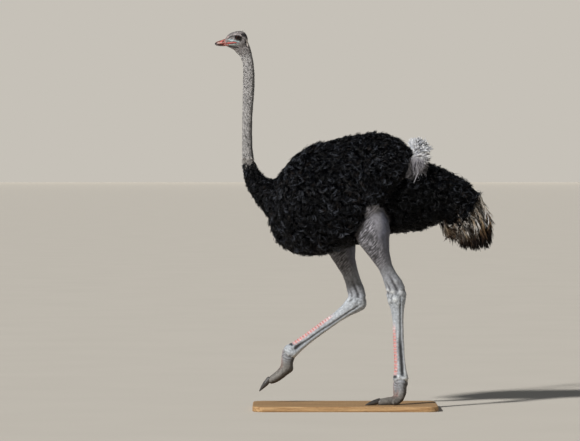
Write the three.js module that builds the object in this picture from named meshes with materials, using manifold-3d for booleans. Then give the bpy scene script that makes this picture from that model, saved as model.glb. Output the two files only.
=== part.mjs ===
// A life-size male ostrich in mid stride: it stands on its left foot, swings the right foot
// forward, and is held up by one flat display base under the standing foot.
// Millimetres, +Z up. The bird faces -Y and its left side is +X. The origin is the middle of
// the base's underside, on the floor.
import * as THREE from "three";
import { mergeVertices } from "three/addons/utils/BufferGeometryUtils.js";
import Module from "manifold-3d";

const wasm = await Module();
wasm.setup();

// ---------------------------------------------------------------- driving dimensions
const GAP = 0.4; // clearance between solids that meet
const BASE = { length: 1060, width: 580, thick: 30, corner: 70, bevel: 4 };
const GROUND = BASE.thick; // the level that the standing foot rests on

// Joints of the two legs, which follow the length of the bones: shin 560, shank about 500.
const JOINTS = {
  left: { knee: [165, 101, 1191], hock: [105, 293, 665], foot: [70, 319, 160] },
  right: { knee: [-165, -73, 1156], hock: [-115, 78, 617], foot: [-88, -317, 325] },
};
const INNER_TOE = { bones: [100, 70, 52], claw: 76 }; // the long toe, with the nail
const OUTER_TOE = { bones: [85, 45, 30], aside: 24 }; // the short toe, without one

const EYE = { y: -615, z: 2133, x: 27, radius: 21 };

// How square the cross-sections are (2 is an ellipse), and how far up they are widest.
const BODY_SHAPE = { power: 2.15 };
const WING_SHAPE = { power: 2.2 };
const SKULL_SHAPE = { power: 2.2, widest: 0.55 };
const TOE_SHAPE = { widest: 0.55 };
const BILL_SHAPES = { upper: { widest: 0.25 }, lower: { widest: 0.8 } };

// ---------------------------------------------------------------- materials
const paint = (color, roughness) =>
  new THREE.MeshStandardMaterial({ color, roughness, metalness: 0 });
const SKIN = paint(0x97918e, 0.75);
const DOWN = paint(0x8e8a86, 0.85);
const BLACK_PLUMAGE = paint(0x17161a, 0.8);
const WHITE_PLUMAGE = paint(0xd8d6d2, 0.85);
const TAIL_PLUMAGE = paint(0x8c7458, 0.85);
const BILL = paint(0xc27567, 0.5);
const HORN = paint(0x3a3634, 0.4);
const EYEBALL = paint(0x2c1a10, 0.08);
const OAK = paint(0xb99a72, 0.55);

// ---------------------------------------------------------------- solids from cross-sections
const AXIS_X = new THREE.Vector3(1, 0, 0);

// One cross-section: its rear (or upper) and front (or lower) edge in a fore-and-aft plane,
// the half width across that plane, how far up it is widest, how square it is, and how far
// its upper and lower edges bend to one side.
function section(rear, front, half, { widest = 0.5, power = 2, bend = [0, 0] } = {}) {
  return { rear, front, half, widest, power, bend };
}

function sectionOutline({ rear, front, half, widest, power, bend }, sides, grow) {
  const up = rear.clone().sub(front).normalize();
  const high = rear.clone().addScaledVector(up, grow);
  const low = front.clone().addScaledVector(up, -grow);
  const middle = low.clone().lerp(high, widest);
  return Array.from({ length: sides }, (_, i) => {
    const angle = (2 * Math.PI * i) / sides;
    const [c, s] = [Math.cos(angle), Math.sin(angle)].map(
      (v) => Math.sign(v) * Math.abs(v) ** (2 / power),
    );
    return middle
      .clone()
      .addScaledVector(c >= 0 ? high.clone().sub(middle) : middle.clone().sub(low), c)
      .addScaledVector(AXIS_X, s * (half + grow) + c * c * (c > 0 ? bend[0] : bend[1]));
  });
}

// A closed skin over a row of cross-sections. Growing it pushes every side outwards.
function loft(sections, sides, grow = 0) {
  const rings = sections.map((s) => sectionOutline(s, sides, grow));
  const centres = rings.map((ring) =>
    ring.reduce((sum, p) => sum.add(p), new THREE.Vector3()).divideScalar(sides),
  );
  const last = rings.length - 1;
  for (const [end, next] of [[0, 1], [last, last - 1]]) {
    const outwards = centres[end].clone().sub(centres[next]).normalize().multiplyScalar(grow);
    rings[end].forEach((p) => p.add(outwards));
    centres[end].add(outwards);
  }
  const points = [...rings.flat(), centres[0], centres[last]];
  const faces = [];
  for (let side = 0; side < sides; side++) {
    const next = (side + 1) % sides;
    for (let r = 0; r < last; r++) {
      const [a, b] = [r * sides + side, r * sides + next];
      faces.push(a, a + sides, b, b, a + sides, b + sides);
    }
    faces.push(points.length - 2, side, next);
    faces.push(points.length - 1, last * sides + next, last * sides + side);
  }
  return outwardFacing(new THREE.BufferGeometry().setFromPoints(points).setIndex(faces));
}

function outwardFacing(geometry) {
  const at = geometry.getAttribute("position");
  const index = geometry.index.array;
  const [a, b, c] = [0, 1, 2].map(() => new THREE.Vector3());
  let volume = 0;
  for (let i = 0; i < index.length; i += 3) {
    [a, b, c].forEach((v, k) => v.fromBufferAttribute(at, index[i + k]));
    volume += a.dot(b.cross(c));
  }
  if (volume < 0) {
    for (let i = 0; i < index.length; i += 3)
      [index[i + 1], index[i + 2]] = [index[i + 2], index[i + 1]];
  }
  return geometry;
}

// Smooth cross-sections through a few stations. A station is [rear y, rear z, front y, front z,
// half width, middle x]. From and to count stations, and may be fractions.
function throughStations(stations, { from = 0, to = stations.length - 1, each = 1, ...shape }) {
  const x = (s) => s[5] ?? 0;
  const spline = (pick) => new THREE.CatmullRomCurve3(stations.map(pick), false, "catmullrom");
  const rear = spline((s) => new THREE.Vector3(x(s), s[0], s[1]));
  const front = spline((s) => new THREE.Vector3(x(s), s[2], s[3]));
  const half = spline((s) => new THREE.Vector3(s[4], 0, 0));
  const steps = Math.max(1, Math.round((to - from) * each));
  return Array.from({ length: steps + 1 }, (_, i) => {
    const u = (from + ((to - from) * i) / steps) / (stations.length - 1);
    const [high, low] = [rear.getPoint(u), front.getPoint(u)];
    const bend = shape.bendAt?.(high.distanceTo(low));
    return section(high, low, half.getPoint(u).x, { ...shape, bend });
  });
}

// Cross-sections along a limb's centreline. A row of the profile is [distance along the line,
// thickness behind it, thickness before it, half width]. A dome closes both ends: its rings lie
// at these angles, and its height is this share of the limb's thickness.
const DOME_RINGS = [35, 62, 80].map(THREE.MathUtils.degToRad);
const DOME_HEIGHT = 0.385;

function alongLimb(joints, profile, { each = 1, ...shape } = {}) {
  const points = joints.map((p) => new THREE.Vector3(...p));
  const line =
    points.length > 2
      ? new THREE.CatmullRomCurve3(points, false, "centripetal")
      : new THREE.LineCurve3(...points);
  const length = line.getLength();
  const rows = new THREE.CatmullRomCurve3(
    profile.map(([, behind, before, half]) => new THREE.Vector3(behind, before, half)),
    false,
    "catmullrom",
  );
  const at = (distance, thickness, scale = 1) => {
    const u = THREE.MathUtils.clamp(distance / length, 0, 1);
    const along = line.getTangentAt(u);
    const centre = line.getPointAt(u).addScaledVector(along, distance - u * length);
    const behind = new THREE.Vector3(0, -along.z, along.y).normalize();
    return section(
      centre.clone().addScaledVector(behind, thickness.x * scale),
      centre.clone().addScaledVector(behind, -thickness.y * scale),
      thickness.z * scale,
      shape,
    );
  };
  const steps = (profile.length - 1) * each;
  const sections = Array.from({ length: steps + 1 }, (_, i) => {
    const k = Math.min(Math.floor(i / each), profile.length - 2);
    const share = i / each - k;
    const distance = THREE.MathUtils.lerp(profile[k][0], profile[k + 1][0], share);
    return at(distance, rows.getPoint(i / steps));
  });
  const dome = (row, thickness, sign) => {
    const height = (thickness.x + thickness.y) * DOME_HEIGHT;
    return DOME_RINGS.map((a) => at(row[0] + sign * height * Math.sin(a), thickness, Math.cos(a)));
  };
  return [
    ...dome(profile[0], rows.getPoint(0), -1).reverse(),
    ...sections,
    ...dome(profile.at(-1), rows.getPoint(1), 1),
  ];
}

// ---------------------------------------------------------------- joins and cuts
function solidOf(geometry) {
  const g = geometry.clone();
  g.deleteAttribute("normal");
  g.deleteAttribute("uv");
  const merged = mergeVertices(g, 1e-3);
  return new wasm.Manifold(
    new wasm.Mesh({
      numProp: 3,
      vertProperties: merged.getAttribute("position").array,
      triVerts: new Uint32Array(merged.index.array),
    }),
  );
}

function geometryOf(solid) {
  const { numProp, numVert, vertProperties, triVerts } = solid.getMesh();
  const at = new Float32Array(numVert * 3);
  for (let i = 0; i < numVert; i++)
    at.set(vertProperties.subarray(i * numProp, i * numProp + 3), i * 3);
  return new THREE.BufferGeometry()
    .setAttribute("position", new THREE.BufferAttribute(at, 3))
    .setIndex(new THREE.BufferAttribute(triVerts, 1));
}

// Cutting can leave slivers beside the piece that was meant, so the largest body is kept.
function largestBody(solid) {
  return solid.decompose().reduce((a, b) => (a.volume() > b.volume() ? a : b));
}

const cut = (geometry, ...tools) =>
  geometryOf(
    largestBody(tools.reduce((left, tool) => left.subtract(solidOf(tool)), solidOf(geometry))),
  );
const join = (...geometries) =>
  geometryOf(geometries.map(solidOf).reduce((a, b) => a.add(b)));

const group = new THREE.Group();
function add(name, geometry, material) {
  geometry.computeVertexNormals();
  const mesh = new THREE.Mesh(geometry, material);
  mesh.name = name;
  group.add(mesh);
}

const SIDES = { left: 1, right: -1 };

// ---------------------------------------------------------------- wings and wing plumes
// A folded wing lies on the flank from the shoulder to the rump and hangs over the thigh.
const WING = [
  [-374, 1352, -391, 1272, 35, 118],
  [-310, 1427, -391, 1134, 60, 150],
  [-224, 1490, -351, 1008, 74, 176],
  [-109, 1520, -270, 915, 80, 193],
  [17, 1542, -132, 898, 82, 200],
  [132, 1554, 6, 944, 80, 200],
  [236, 1542, 108, 1040, 76, 195],
  [316, 1511, 210, 1168, 66, 182],
  [362, 1462, 300, 1283, 50, 162],
  [374, 1416, 351, 1341, 26, 146],
];
// The wing follows the round of the back, and hangs straighter over the thigh.
const WING_WRAP = { height: 650, above: 125, below: 40 };
// The white quills show as a tuft that curls up behind each wing.
const WING_PLUMES = [
  [374, 1306, 338, 1324, 22, 132],
  [426, 1341, 339, 1364, 38, 130],
  [466, 1393, 356, 1410, 46, 126],
  [489, 1450, 362, 1456, 50, 121],
  [500, 1502, 354, 1508, 48, 116],
  [472, 1548, 357, 1551, 38, 111],
  [431, 1567, 380, 1567, 22, 107],
];
const onSide = (stations, sign) => stations.map((s) => [...s.slice(0, 5), s[5] * sign]);
function wing(sign, grow) {
  const bendAt = (height) => {
    const inwards = -sign * (height / WING_WRAP.height) ** 2;
    return [inwards * WING_WRAP.above, inwards * WING_WRAP.below];
  };
  return loft(throughStations(onSide(WING, sign), { ...WING_SHAPE, bendAt }), 20, grow);
}
const wingPlumes = (sign, grow) => loft(throughStations(onSide(WING_PLUMES, sign), {}), 12, grow);

// ---------------------------------------------------------------- legs
// The bare drumstick, from the knee to the hock, with the calf behind. A bent leg bulges more
// at the back. Here a row is [distance, behind, behind when bent, before, half width].
const SHIN_PROFILE = [
  [26, 58, 58, 66, 44],
  [88, 91, 91, 90, 64],
  [152, 101, 98, 108, 77],
  [208, 92, 88, 108, 79],
  [250, 70, 73, 92, 73],
  [320, 46, 51, 69, 60],
  [392, 35, 47, 47, 46],
  [442, 40, 48, 43, 39],
  [500, 57, 55, 46, 39],
  [545, 60, 52, 50, 38],
];
const shinProfile = (bent) =>
  SHIN_PROFILE.map(([distance, behind, behindBent, before, half]) => [
    distance,
    bent ? behindBent : behind,
    before,
    half,
  ]);
// The shank, with the knob of the hock above and the foot's joint below.
const SHANK_PROFILE = [
  [0, 59, 58, 41],
  [42, 52, 52, 39],
  [86, 41, 37, 31],
  [150, 34, 30, 25],
  [270, 31, 31, 23],
  [370, 31, 31, 23],
  [440, 37, 34, 27],
  [490, 47, 45, 35],
];
// The toes, with the pads behind (below) the bones.
const INNER_TOE_PROFILE = [
  [0, 44, 44, 30],
  [50, 34, 38, 26],
  [98, 36, 27, 29],
  [135, 34, 25, 31],
  [172, 31, 24, 30],
  [205, 26, 20, 24],
];
const OUTER_TOE_PROFILE = [
  [0, 30, 28, 18],
  [45, 24, 20, 16],
  [85, 27, 20, 18],
  [122, 25, 19, 18],
  [145, 20, 14, 14],
];
const CLAW_PROFILE = [
  [0, 15, 19, 16],
  [34, 14, 17, 15],
  [64, 9, 12, 10],
  [90, 3, 3, 3],
];
const CLAW_ROOT = 14; // how far the claw is set into the toe

// How far each bone of a toe points below level, in degrees, the claw last, and how far the
// toe is turned out to the side.
const TOE_POSES = {
  left: { bent: false, inner: [76, 12, 0, 12], innerTurn: 22, outer: [84, 33, 10], outerTurn: 46 },
  right: { bent: true, inner: [72, 45, 29, 49], innerTurn: 4, outer: [78, 58, 42], outerTurn: 25 },
};

// The joints of a toe, from the foot's joint to its tip.
function toeJoints(root, bones, pitches, turn) {
  const heading = THREE.MathUtils.degToRad(turn);
  const joints = [root];
  bones.forEach((bone, i) => {
    const down = THREE.MathUtils.degToRad(pitches[i]);
    const run = bone * Math.cos(down);
    const [x, y, z] = joints.at(-1);
    joints.push([
      x + run * Math.sin(heading),
      y - run * Math.cos(heading),
      z - bone * Math.sin(down),
    ]);
  });
  return joints;
}

function leg(side) {
  const sign = SIDES[side];
  const { knee, hock, foot } = JOINTS[side];
  const pose = TOE_POSES[side];
  const outerRoot = [foot[0] + sign * OUTER_TOE.aside, foot[1], foot[2]];
  const innerBones = [...INNER_TOE.bones, INNER_TOE.claw];
  const inner = toeJoints(foot, innerBones, pose.inner, sign * pose.innerTurn);
  const tip = new THREE.Vector3(...inner.at(-2));
  const clawTip = new THREE.Vector3(...inner.at(-1));
  const clawStart = tip.clone().addScaledVector(clawTip.clone().sub(tip).normalize(), -CLAW_ROOT);
  const outer = toeJoints(outerRoot, OUTER_TOE.bones, pose.outer, sign * pose.outerTurn);
  return {
    shin: (grow) => loft(alongLimb([knee, hock], shinProfile(pose.bent)), 16, grow),
    shank: (grow) => loft(alongLimb([hock, foot], SHANK_PROFILE), 14, grow),
    innerToe: (grow) =>
      loft(alongLimb(inner.slice(0, -1), INNER_TOE_PROFILE, { each: 1.6, ...TOE_SHAPE }), 12, grow),
    outerToe: (grow) => loft(alongLimb(outer, OUTER_TOE_PROFILE, TOE_SHAPE), 10, grow),
    claw: (grow) => loft(alongLimb([clawStart.toArray(), clawTip.toArray()], CLAW_PROFILE), 10, grow),
  };
}

// Everything below the level that the standing foot rests on, which leaves flats on its pads.
const groundDepth = 120;
const underGround = new THREE.BoxGeometry(2000, 2000, groundDepth).translate(
  0,
  0,
  GROUND + GAP - groundDepth / 2,
);

const legs = { left: leg("left"), right: leg("right") };
for (const side of Object.keys(SIDES)) {
  const { shin, shank, innerToe, outerToe, claw } = legs[side];
  add(`shin_${side}`, cut(shin(0), shank(GAP), wing(SIDES[side], GAP)), SKIN);
  add(`shank_${side}`, cut(shank(0)), SKIN);
  add(`toe_inner_${side}`, cut(innerToe(0), shank(GAP), claw(GAP), underGround), SKIN);
  add(`toe_outer_${side}`, cut(outerToe(0), shank(GAP), innerToe(GAP), underGround), SKIN);
  add(`claw_${side}`, cut(claw(0), underGround), HORN);
}

// ---------------------------------------------------------------- neck, trunk and tail
// One run of stations from inside the head to the tip of the tail. The front edge is the
// throat, breast and belly, and the rear edge is the nape, back and rump.
const BODY = [
  [-561, 2122, -640, 2096, 32], // inside the head
  [-546, 2088, -635, 2061, 33],
  [-537, 2054, -612, 2039, 31], // throat
  [-528, 2014, -591, 2006, 29],
  [-520, 1950, -586, 1950, 30],
  [-518, 1880, -587, 1880, 31],
  [-522, 1795, -589, 1795, 31],
  [-530, 1708, -591, 1708, 31],
  [-532, 1605, -592, 1605, 31],
  [-531, 1513, -593, 1513, 33],
  [-520, 1433, -593, 1421, 38], // the plumage begins
  [-489, 1378, -588, 1347, 48],
  [-448, 1336, -563, 1260, 66],
  [-408, 1328, -506, 1174, 92],
  [-368, 1364, -445, 1093, 122], // breast and shoulders
  [-316, 1433, -418, 1002, 150],
  [-253, 1496, -368, 932, 174],
  [-167, 1532, -270, 884, 192],
  [-52, 1557, -144, 881, 202],
  [75, 1585, -11, 914, 205], // over the hips
  [201, 1594, 121, 960, 200],
  [310, 1559, 259, 1005, 184],
  [391, 1492, 380, 1015, 160],
  [477, 1424, 475, 1040, 142],
  [581, 1377, 556, 1074, 132], // tail
  [684, 1320, 606, 1054, 136],
  [770, 1243, 640, 996, 142],
  [834, 1165, 686, 947, 134],
  [855, 1076, 742, 922, 104],
  [845, 985, 793, 918, 48],
];
// Where the run is parted, counted in stations, and how many sides each length has.
const BODY_PARTS = [
  { name: "neck_upper", from: 2.3, to: 6.4, sides: 16, material: DOWN },
  { name: "neck_lower", from: 6.4, to: 10, sides: 16, material: DOWN },
  { name: "neck_base", from: 10, to: 14, each: 2, sides: 20, material: BLACK_PLUMAGE },
  { name: "trunk", from: 14, to: 23, each: 1.5, sides: 24, material: BLACK_PLUMAGE },
  { name: "tail", from: 23, to: 26, sides: 20, material: BLACK_PLUMAGE },
  { name: "tail_plumes", from: 26, to: 29, each: 2, sides: 20, material: TAIL_PLUMAGE },
];
const HEAD_ENDS = 2.3; // the head takes the run's first stations

// The gap between two lengths, as a share of the station that it is cut from.
function gapInStations(station) {
  const next = Math.min(Math.floor(station) + 1, BODY.length - 1);
  const middle = (s) => new THREE.Vector2((s[0] + s[2]) / 2, (s[1] + s[3]) / 2);
  return (2 * GAP) / middle(BODY[next]).distanceTo(middle(BODY[next - 1]));
}

const limbs = Object.entries(SIDES).flatMap(([side, sign]) => [
  wing(sign, GAP),
  wingPlumes(sign, GAP),
  legs[side].shin(GAP),
]);
for (const { name, from, to, each, sides, material } of BODY_PARTS) {
  const start = from + gapInStations(from);
  const length = loft(throughStations(BODY, { from: start, to, each, ...BODY_SHAPE }), sides);
  add(name, cut(length, ...limbs), material);
}

for (const [side, sign] of Object.entries(SIDES)) {
  add(`wing_${side}`, wing(sign, 0), BLACK_PLUMAGE);
  add(`wing_plumes_${side}`, cut(wingPlumes(sign, 0), wing(sign, GAP)), WHITE_PLUMAGE);
}

// ---------------------------------------------------------------- head, bill and eyes
// Stations of the head from the root of the bill to the back of the skull, upper edge first.
const HEAD = [
  [-687, 2131, -687, 2088, 23],
  [-674, 2151, -674, 2083, 29],
  [-656, 2164, -656, 2073, 35],
  [-636, 2171, -636, 2063, 40],
  [-615, 2175, -615, 2056, 43],
  [-594, 2175, -594, 2056, 42],
  [-577, 2168, -577, 2070, 36],
  [-565, 2153, -565, 2092, 27],
  [-558, 2134, -558, 2110, 13],
];
// The upper bill is broad and flat, with a rounded nail at the tip.
const BILL_UPPER = [
  [-748, 2103, -748, 2096, 4],
  [-744, 2108, -744, 2095, 10],
  [-736, 2113, -736, 2095, 15],
  [-722, 2118, -722, 2095, 19],
  [-705, 2123, -705, 2096, 22],
  [-687 - GAP, 2131, -687 - GAP, 2097, 23],
];
// The lower bill is thin and lies just inside the upper one.
const BILL_LOWER = [
  [-743, 2094, -743, 2092, 5],
  [-736, 2094, -736, 2089, 12],
  [-722, 2094, -722, 2087, 16],
  [-705, 2095, -705, 2086, 19],
  [-687 - GAP, 2096, -687 - GAP, 2086, 21],
];
const neckTop = loft(throughStations(BODY, { to: HEAD_ENDS, ...BODY_SHAPE }), 16);
const skull = loft(throughStations(HEAD, SKULL_SHAPE), 20);
function eye(sign, grow) {
  const ball = new THREE.IcosahedronGeometry(EYE.radius + grow, 2);
  return ball.deleteAttribute("uv").translate(sign * EYE.x, EYE.y, EYE.z);
}

add("head", cut(join(skull, neckTop), eye(1, GAP), eye(-1, GAP)), SKIN);
add("bill_upper", loft(throughStations(BILL_UPPER, BILL_SHAPES.upper), 16), BILL);
add("bill_lower", loft(throughStations(BILL_LOWER, BILL_SHAPES.lower), 16), BILL);
for (const [side, sign] of Object.entries(SIDES)) {
  add(`eye_${side}`, geometryOf(solidOf(eye(sign, 0))), EYEBALL);
}

// ---------------------------------------------------------------- display base
function roundedPlate({ length, width, thick, corner, bevel }) {
  const [hx, hy] = [width / 2 - bevel, length / 2 - bevel];
  const r = corner - bevel;
  const shape = new THREE.Shape();
  shape.absarc(hx - r, hy - r, r, 0, Math.PI / 2);
  shape.absarc(-hx + r, hy - r, r, Math.PI / 2, Math.PI);
  shape.absarc(-hx + r, -hy + r, r, Math.PI, 1.5 * Math.PI);
  shape.absarc(hx - r, -hy + r, r, 1.5 * Math.PI, 2 * Math.PI);
  const plate = new THREE.ExtrudeGeometry(shape, {
    depth: thick - 2 * bevel,
    bevelThickness: bevel,
    bevelSize: bevel,
    bevelSegments: 1,
    curveSegments: 4,
  });
  return plate.translate(0, 0, bevel);
}
add("stand_base", cut(roundedPlate(BASE)), OAK);

export default group;
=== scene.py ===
"""A life-size still model of a male ostrich in mid stride, standing on a flat oak display base.

Everything is in metres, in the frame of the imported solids: the bird faces -Y, its left side is +X and
+Z is up. The origin is the middle of the base's underside.
"""

import math
from collections import namedtuple

import bmesh
import bpy
import numpy as np
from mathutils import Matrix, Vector, noise
from mathutils.bvhtree import BVHTree
from mathutils.kdtree import KDTree


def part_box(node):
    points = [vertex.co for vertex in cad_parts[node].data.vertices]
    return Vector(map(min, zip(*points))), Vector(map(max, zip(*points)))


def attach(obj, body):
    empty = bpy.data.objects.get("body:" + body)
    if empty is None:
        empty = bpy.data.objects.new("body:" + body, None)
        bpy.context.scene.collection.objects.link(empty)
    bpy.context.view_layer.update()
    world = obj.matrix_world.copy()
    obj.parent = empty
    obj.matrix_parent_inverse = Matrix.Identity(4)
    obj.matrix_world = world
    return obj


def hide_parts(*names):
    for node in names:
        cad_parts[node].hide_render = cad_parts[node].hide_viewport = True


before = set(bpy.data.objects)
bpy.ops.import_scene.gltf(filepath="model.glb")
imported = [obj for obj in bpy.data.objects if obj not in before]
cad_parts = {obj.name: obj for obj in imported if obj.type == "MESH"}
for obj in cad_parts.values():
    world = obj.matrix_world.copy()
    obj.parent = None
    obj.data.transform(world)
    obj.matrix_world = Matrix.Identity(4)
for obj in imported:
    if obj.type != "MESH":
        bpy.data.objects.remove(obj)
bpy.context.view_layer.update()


# ------------------------------------------------------------------ camera
# The bird is seen from its left side from far away, about 1.4 m above the floor, with a long lens.
# The camera looks straight across the stride and very slightly down.

VIEW_FROM = (22.0, -0.316, 1.387)
LOOKS_DOWN = math.radians(0.787)
LENS_MM = 237.5

bpy.ops.object.select_all(action="DESELECT")
bpy.ops.object.camera_add(location=VIEW_FROM, rotation=(math.pi / 2 - LOOKS_DOWN, 0, math.pi / 2))
camera = bpy.context.object
camera.name = "side_view"
camera.data.lens = LENS_MM
camera.data.sensor_width = 36
camera.data.clip_end = 900
bpy.context.scene.camera = camera


# ------------------------------------------------------------------ studio floor and light
# A wide pale floor of matt painted board runs out to a ring of evenly lit backdrop paper. A soft light
# stands high in front of the bird on its left, as a low sun would, and a weak one fills the shade.

FLOOR_ACROSS = 700.0
BACKDROP_HIGH = 70.0


def linear(hex_colour):
    """An sRGB colour written #rrggbb, as linear red, green and blue with full opacity."""
    channels = [int(hex_colour[i : i + 2], 16) / 255 for i in (1, 3, 5)]
    return [c / 12.92 if c <= 0.04045 else ((c + 0.055) / 1.055) ** 2.4 for c in channels] + [1.0]


def new_material(name):
    """A material with an empty node tree, and that tree."""
    material = bpy.data.materials.new(name)
    material.use_nodes = True
    material.node_tree.nodes.clear()
    return material, material.node_tree


def add_node(tree, kind, inputs=None, **settings):
    """A new shader node with its settings. Each of its inputs is set, or linked to a socket or to the
    first output that another node has in use."""
    made = tree.nodes.new("ShaderNode" + kind)
    for name, value in settings.items():
        setattr(made, name, value)
    for socket, value in (inputs or {}).items():
        if isinstance(value, bpy.types.Node):
            value = next(output for output in value.outputs if output.enabled)
        if isinstance(value, bpy.types.NodeSocket):
            tree.links.new(value, made.inputs[socket])
        else:
            made.inputs[socket].default_value = value
    return made


# Matt painted board: a faint mottle keeps it from looking flat.
board, tree = new_material("matt_painted_board")
place = add_node(tree, "TexCoord").outputs["Object"]
mottle = add_node(tree, "TexNoise", {"Vector": place, "Scale": 1.3})
tone = add_node(tree, "Mix", {0: mottle, 6: linear("#cbc4b8"), 7: linear("#c5beb2")}, data_type="RGBA")
shader = add_node(tree, "BsdfPrincipled", {"Base Color": tone, "Roughness": 1.0, "Specular IOR Level": 0.0})
add_node(tree, "OutputMaterial", {"Surface": shader})

bpy.ops.mesh.primitive_plane_add(size=FLOOR_ACROSS, location=(0, 0, 0))
floor = bpy.context.object
floor.name = "floor"
floor.data.materials.append(board)

# Backdrop paper, lit evenly from behind: one pale tone all round.
paper, tree = new_material("lit_backdrop_paper")
glow = add_node(tree, "Emission", {"Color": linear("#c6c1b8"), "Strength": 1.0})
add_node(tree, "OutputMaterial", {"Surface": glow})

bpy.ops.mesh.primitive_cylinder_add(
    vertices=96, radius=FLOOR_ACROSS / 2 - 2, depth=BACKDROP_HIGH, end_fill_type="NOTHING",
    location=(0, 0, BACKDROP_HIGH / 2),
)
backdrop = bpy.context.object
backdrop.name = "backdrop"
backdrop.data.materials.append(paper)

world = bpy.data.worlds.new("studio")
bpy.context.scene.world = world
world.use_nodes = True
sky = world.node_tree.nodes["Background"].inputs
sky["Color"].default_value = linear("#c8d0dc")
sky["Strength"].default_value = 0.20

# Each lamp by the side its light comes from (left, back, up), its strength and its spread in degrees.
LIGHTS = {"key": ((0.64, -0.56, 0.53), 4.4, 5), "fill": ((0.75, 0.55, 0.35), 0.10, 60)}
for name, (comes_from, strength, spread) in LIGHTS.items():
    bpy.ops.object.light_add(type="SUN", location=[6 * share for share in comes_from])
    lamp = bpy.context.object
    lamp.name = name
    lamp.data.energy = strength
    lamp.data.angle = math.radians(spread)
    lamp.rotation_euler = Vector(comes_from).to_track_quat("Z", "Y").to_euler()
bpy.context.scene.view_settings.view_transform = "Standard"


# ------------------------------------------------------------------ skin
# One skin wraps the whole bird. Copies of the solids of flesh are swollen until they touch and are
# fused, then the skin sinks under the plumage by the depth of the coat. It runs on under the bill,
# the eyes and the claws, which are pieces of their own.

FLESH = ["head", "neck_upper", "neck_lower", "neck_base", "trunk", "tail"]
SIDES = {"left": 1, "right": -1}
for side in SIDES:
    FLESH += [f"{part}_{side}" for part in ("wing", "shin", "shank", "toe_inner", "toe_outer")]
UNDER_HORN = ["bill_upper", "bill_lower", "claw_left", "claw_right", "eye_left", "eye_right"]
SWELL = 0.0015
VOXEL = 0.005
FINE_ZONES = ("head", "toe_inner", "toe_outer", "bill_upper", "bill_lower", "eye")
FINE_ROUND_EYE = 0.030
KEPT_UNDER_FEATHERS = 0.105  # the share of the triangles that the hidden skin keeps


def make_active(obj):
    """Selects this object and nothing else."""
    bpy.ops.object.select_all(action="DESELECT")
    obj.select_set(True)
    bpy.context.view_layer.objects.active = obj


def apply_modifier(obj, kind, **settings):
    """Adds a modifier to the object and applies it at once."""
    made = obj.modifiers.new(kind.lower(), kind)
    for name, value in settings.items():
        setattr(made, name, value)
    make_active(obj)
    bpy.ops.object.modifier_apply(modifier=made.name)


def copies_joined(names, piece_name):
    """One new object from copies of these CAD nodes, with their loose triangles welded."""
    copies = []
    for name in names:
        copy = bpy.data.objects.new(piece_name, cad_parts[name].data.copy())
        copy.data.materials.clear()
        bpy.context.collection.objects.link(copy)
        copies.append(copy)
    make_active(copies[0])
    for copy in copies:
        copy.select_set(True)
    if len(copies) > 1:
        bpy.ops.object.join()
    bpy.ops.object.mode_set(mode="EDIT")
    bpy.ops.mesh.select_all(action="SELECT")
    bpy.ops.mesh.remove_doubles(threshold=1e-5)
    bpy.ops.object.mode_set(mode="OBJECT")
    copies[0].name = piece_name
    return copies[0]


def solid_tree(names):
    """A search tree over these CAD nodes, and the place in names of the node that each face is of."""
    points, faces, owner = [], [], []
    for number, name in enumerate(names):
        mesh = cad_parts[name].data
        start = len(points)
        points += [v.co.copy() for v in mesh.vertices]
        faces += [[start + i for i in p.vertices] for p in mesh.polygons]
        owner += [number] * len(mesh.polygons)
    return BVHTree.FromPolygons(points, faces), owner


def rows_of(items, value, width=3, kind=float):
    """This value of all the items, one row for each."""
    flat = np.empty(len(items) * width, kind)
    items.foreach_get(value, flat)
    return flat.reshape(-1, width)


def points_of(mesh):
    """The mesh's vertices as rows of x, y and z."""
    return rows_of(mesh.vertices, "co")


def move_points(mesh, points):
    """Puts the mesh's vertices at these places."""
    mesh.vertices.foreach_set("co", points.ravel())
    mesh.update()


def normals_of(mesh):
    """The vertex normals as rows."""
    return rows_of(mesh.vertex_normals, "vector")


def edges_of(mesh):
    """The two ends of each edge as rows."""
    return rows_of(mesh.edges, "vertices", 2, np.int64)


def evened(values, edges, steps, pull=0.5):
    """Values of the vertices, each drawn towards the mean of its neighbours, a number of times."""
    one, two = edges.T
    count = len(values)
    beside = np.bincount(one, minlength=count) + np.bincount(two, minlength=count)
    values = values.reshape(count, -1).astype(float)
    for step in range(steps):
        share = pull[step % len(pull)] if isinstance(pull, tuple) else pull
        total = [np.bincount(one, c[two], count) + np.bincount(two, c[one], count) for c in values.T]
        values = values + share * (np.stack(total, axis=1) / beside[:, None] - values)
    return values


COVERED = FLESH + UNDER_HORN
skin = copies_joined(COVERED, "skin")
apply_modifier(skin, "DISPLACE", strength=SWELL, mid_level=0)
apply_modifier(skin, "REMESH", mode="VOXEL", voxel_size=VOXEL)
nearest, owner = solid_tree(COVERED)


def zones_of(points):
    """The number in COVERED of the solid that lies nearest to each point."""
    return np.array([owner[nearest.find_nearest(p)[2]] for p in points.tolist()])


def in_zone(zones, *parts):
    """True where the zone is one of these parts, of either side."""
    numbers = [i for i, name in enumerate(COVERED) if name.startswith(parts)]
    return np.isin(zones, numbers)


# Fused voxels are evened out, the broad parts that feathers hide are thinned, and the head and feet
# are made finer.
TAUBIN = (0.5, -0.53)  # points are drawn together and pushed apart by turns, so that nothing shrinks
move_points(skin.data, evened(points_of(skin.data), edges_of(skin.data), 24, TAUBIN))

zones = zones_of(points_of(skin.data))
feathered = in_zone(zones, "neck_base", "trunk", "tail", "wing")
broad = skin.vertex_groups.new(name="broad")
broad.add(np.flatnonzero(feathered).tolist(), 1.0, "REPLACE")
thinned = 1 - (1 - KEPT_UNDER_FEATHERS) * feathered.mean()
apply_modifier(skin, "DECIMATE", ratio=thinned, vertex_group="broad", vertex_group_factor=1000.0)
skin.vertex_groups.clear()


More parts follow.
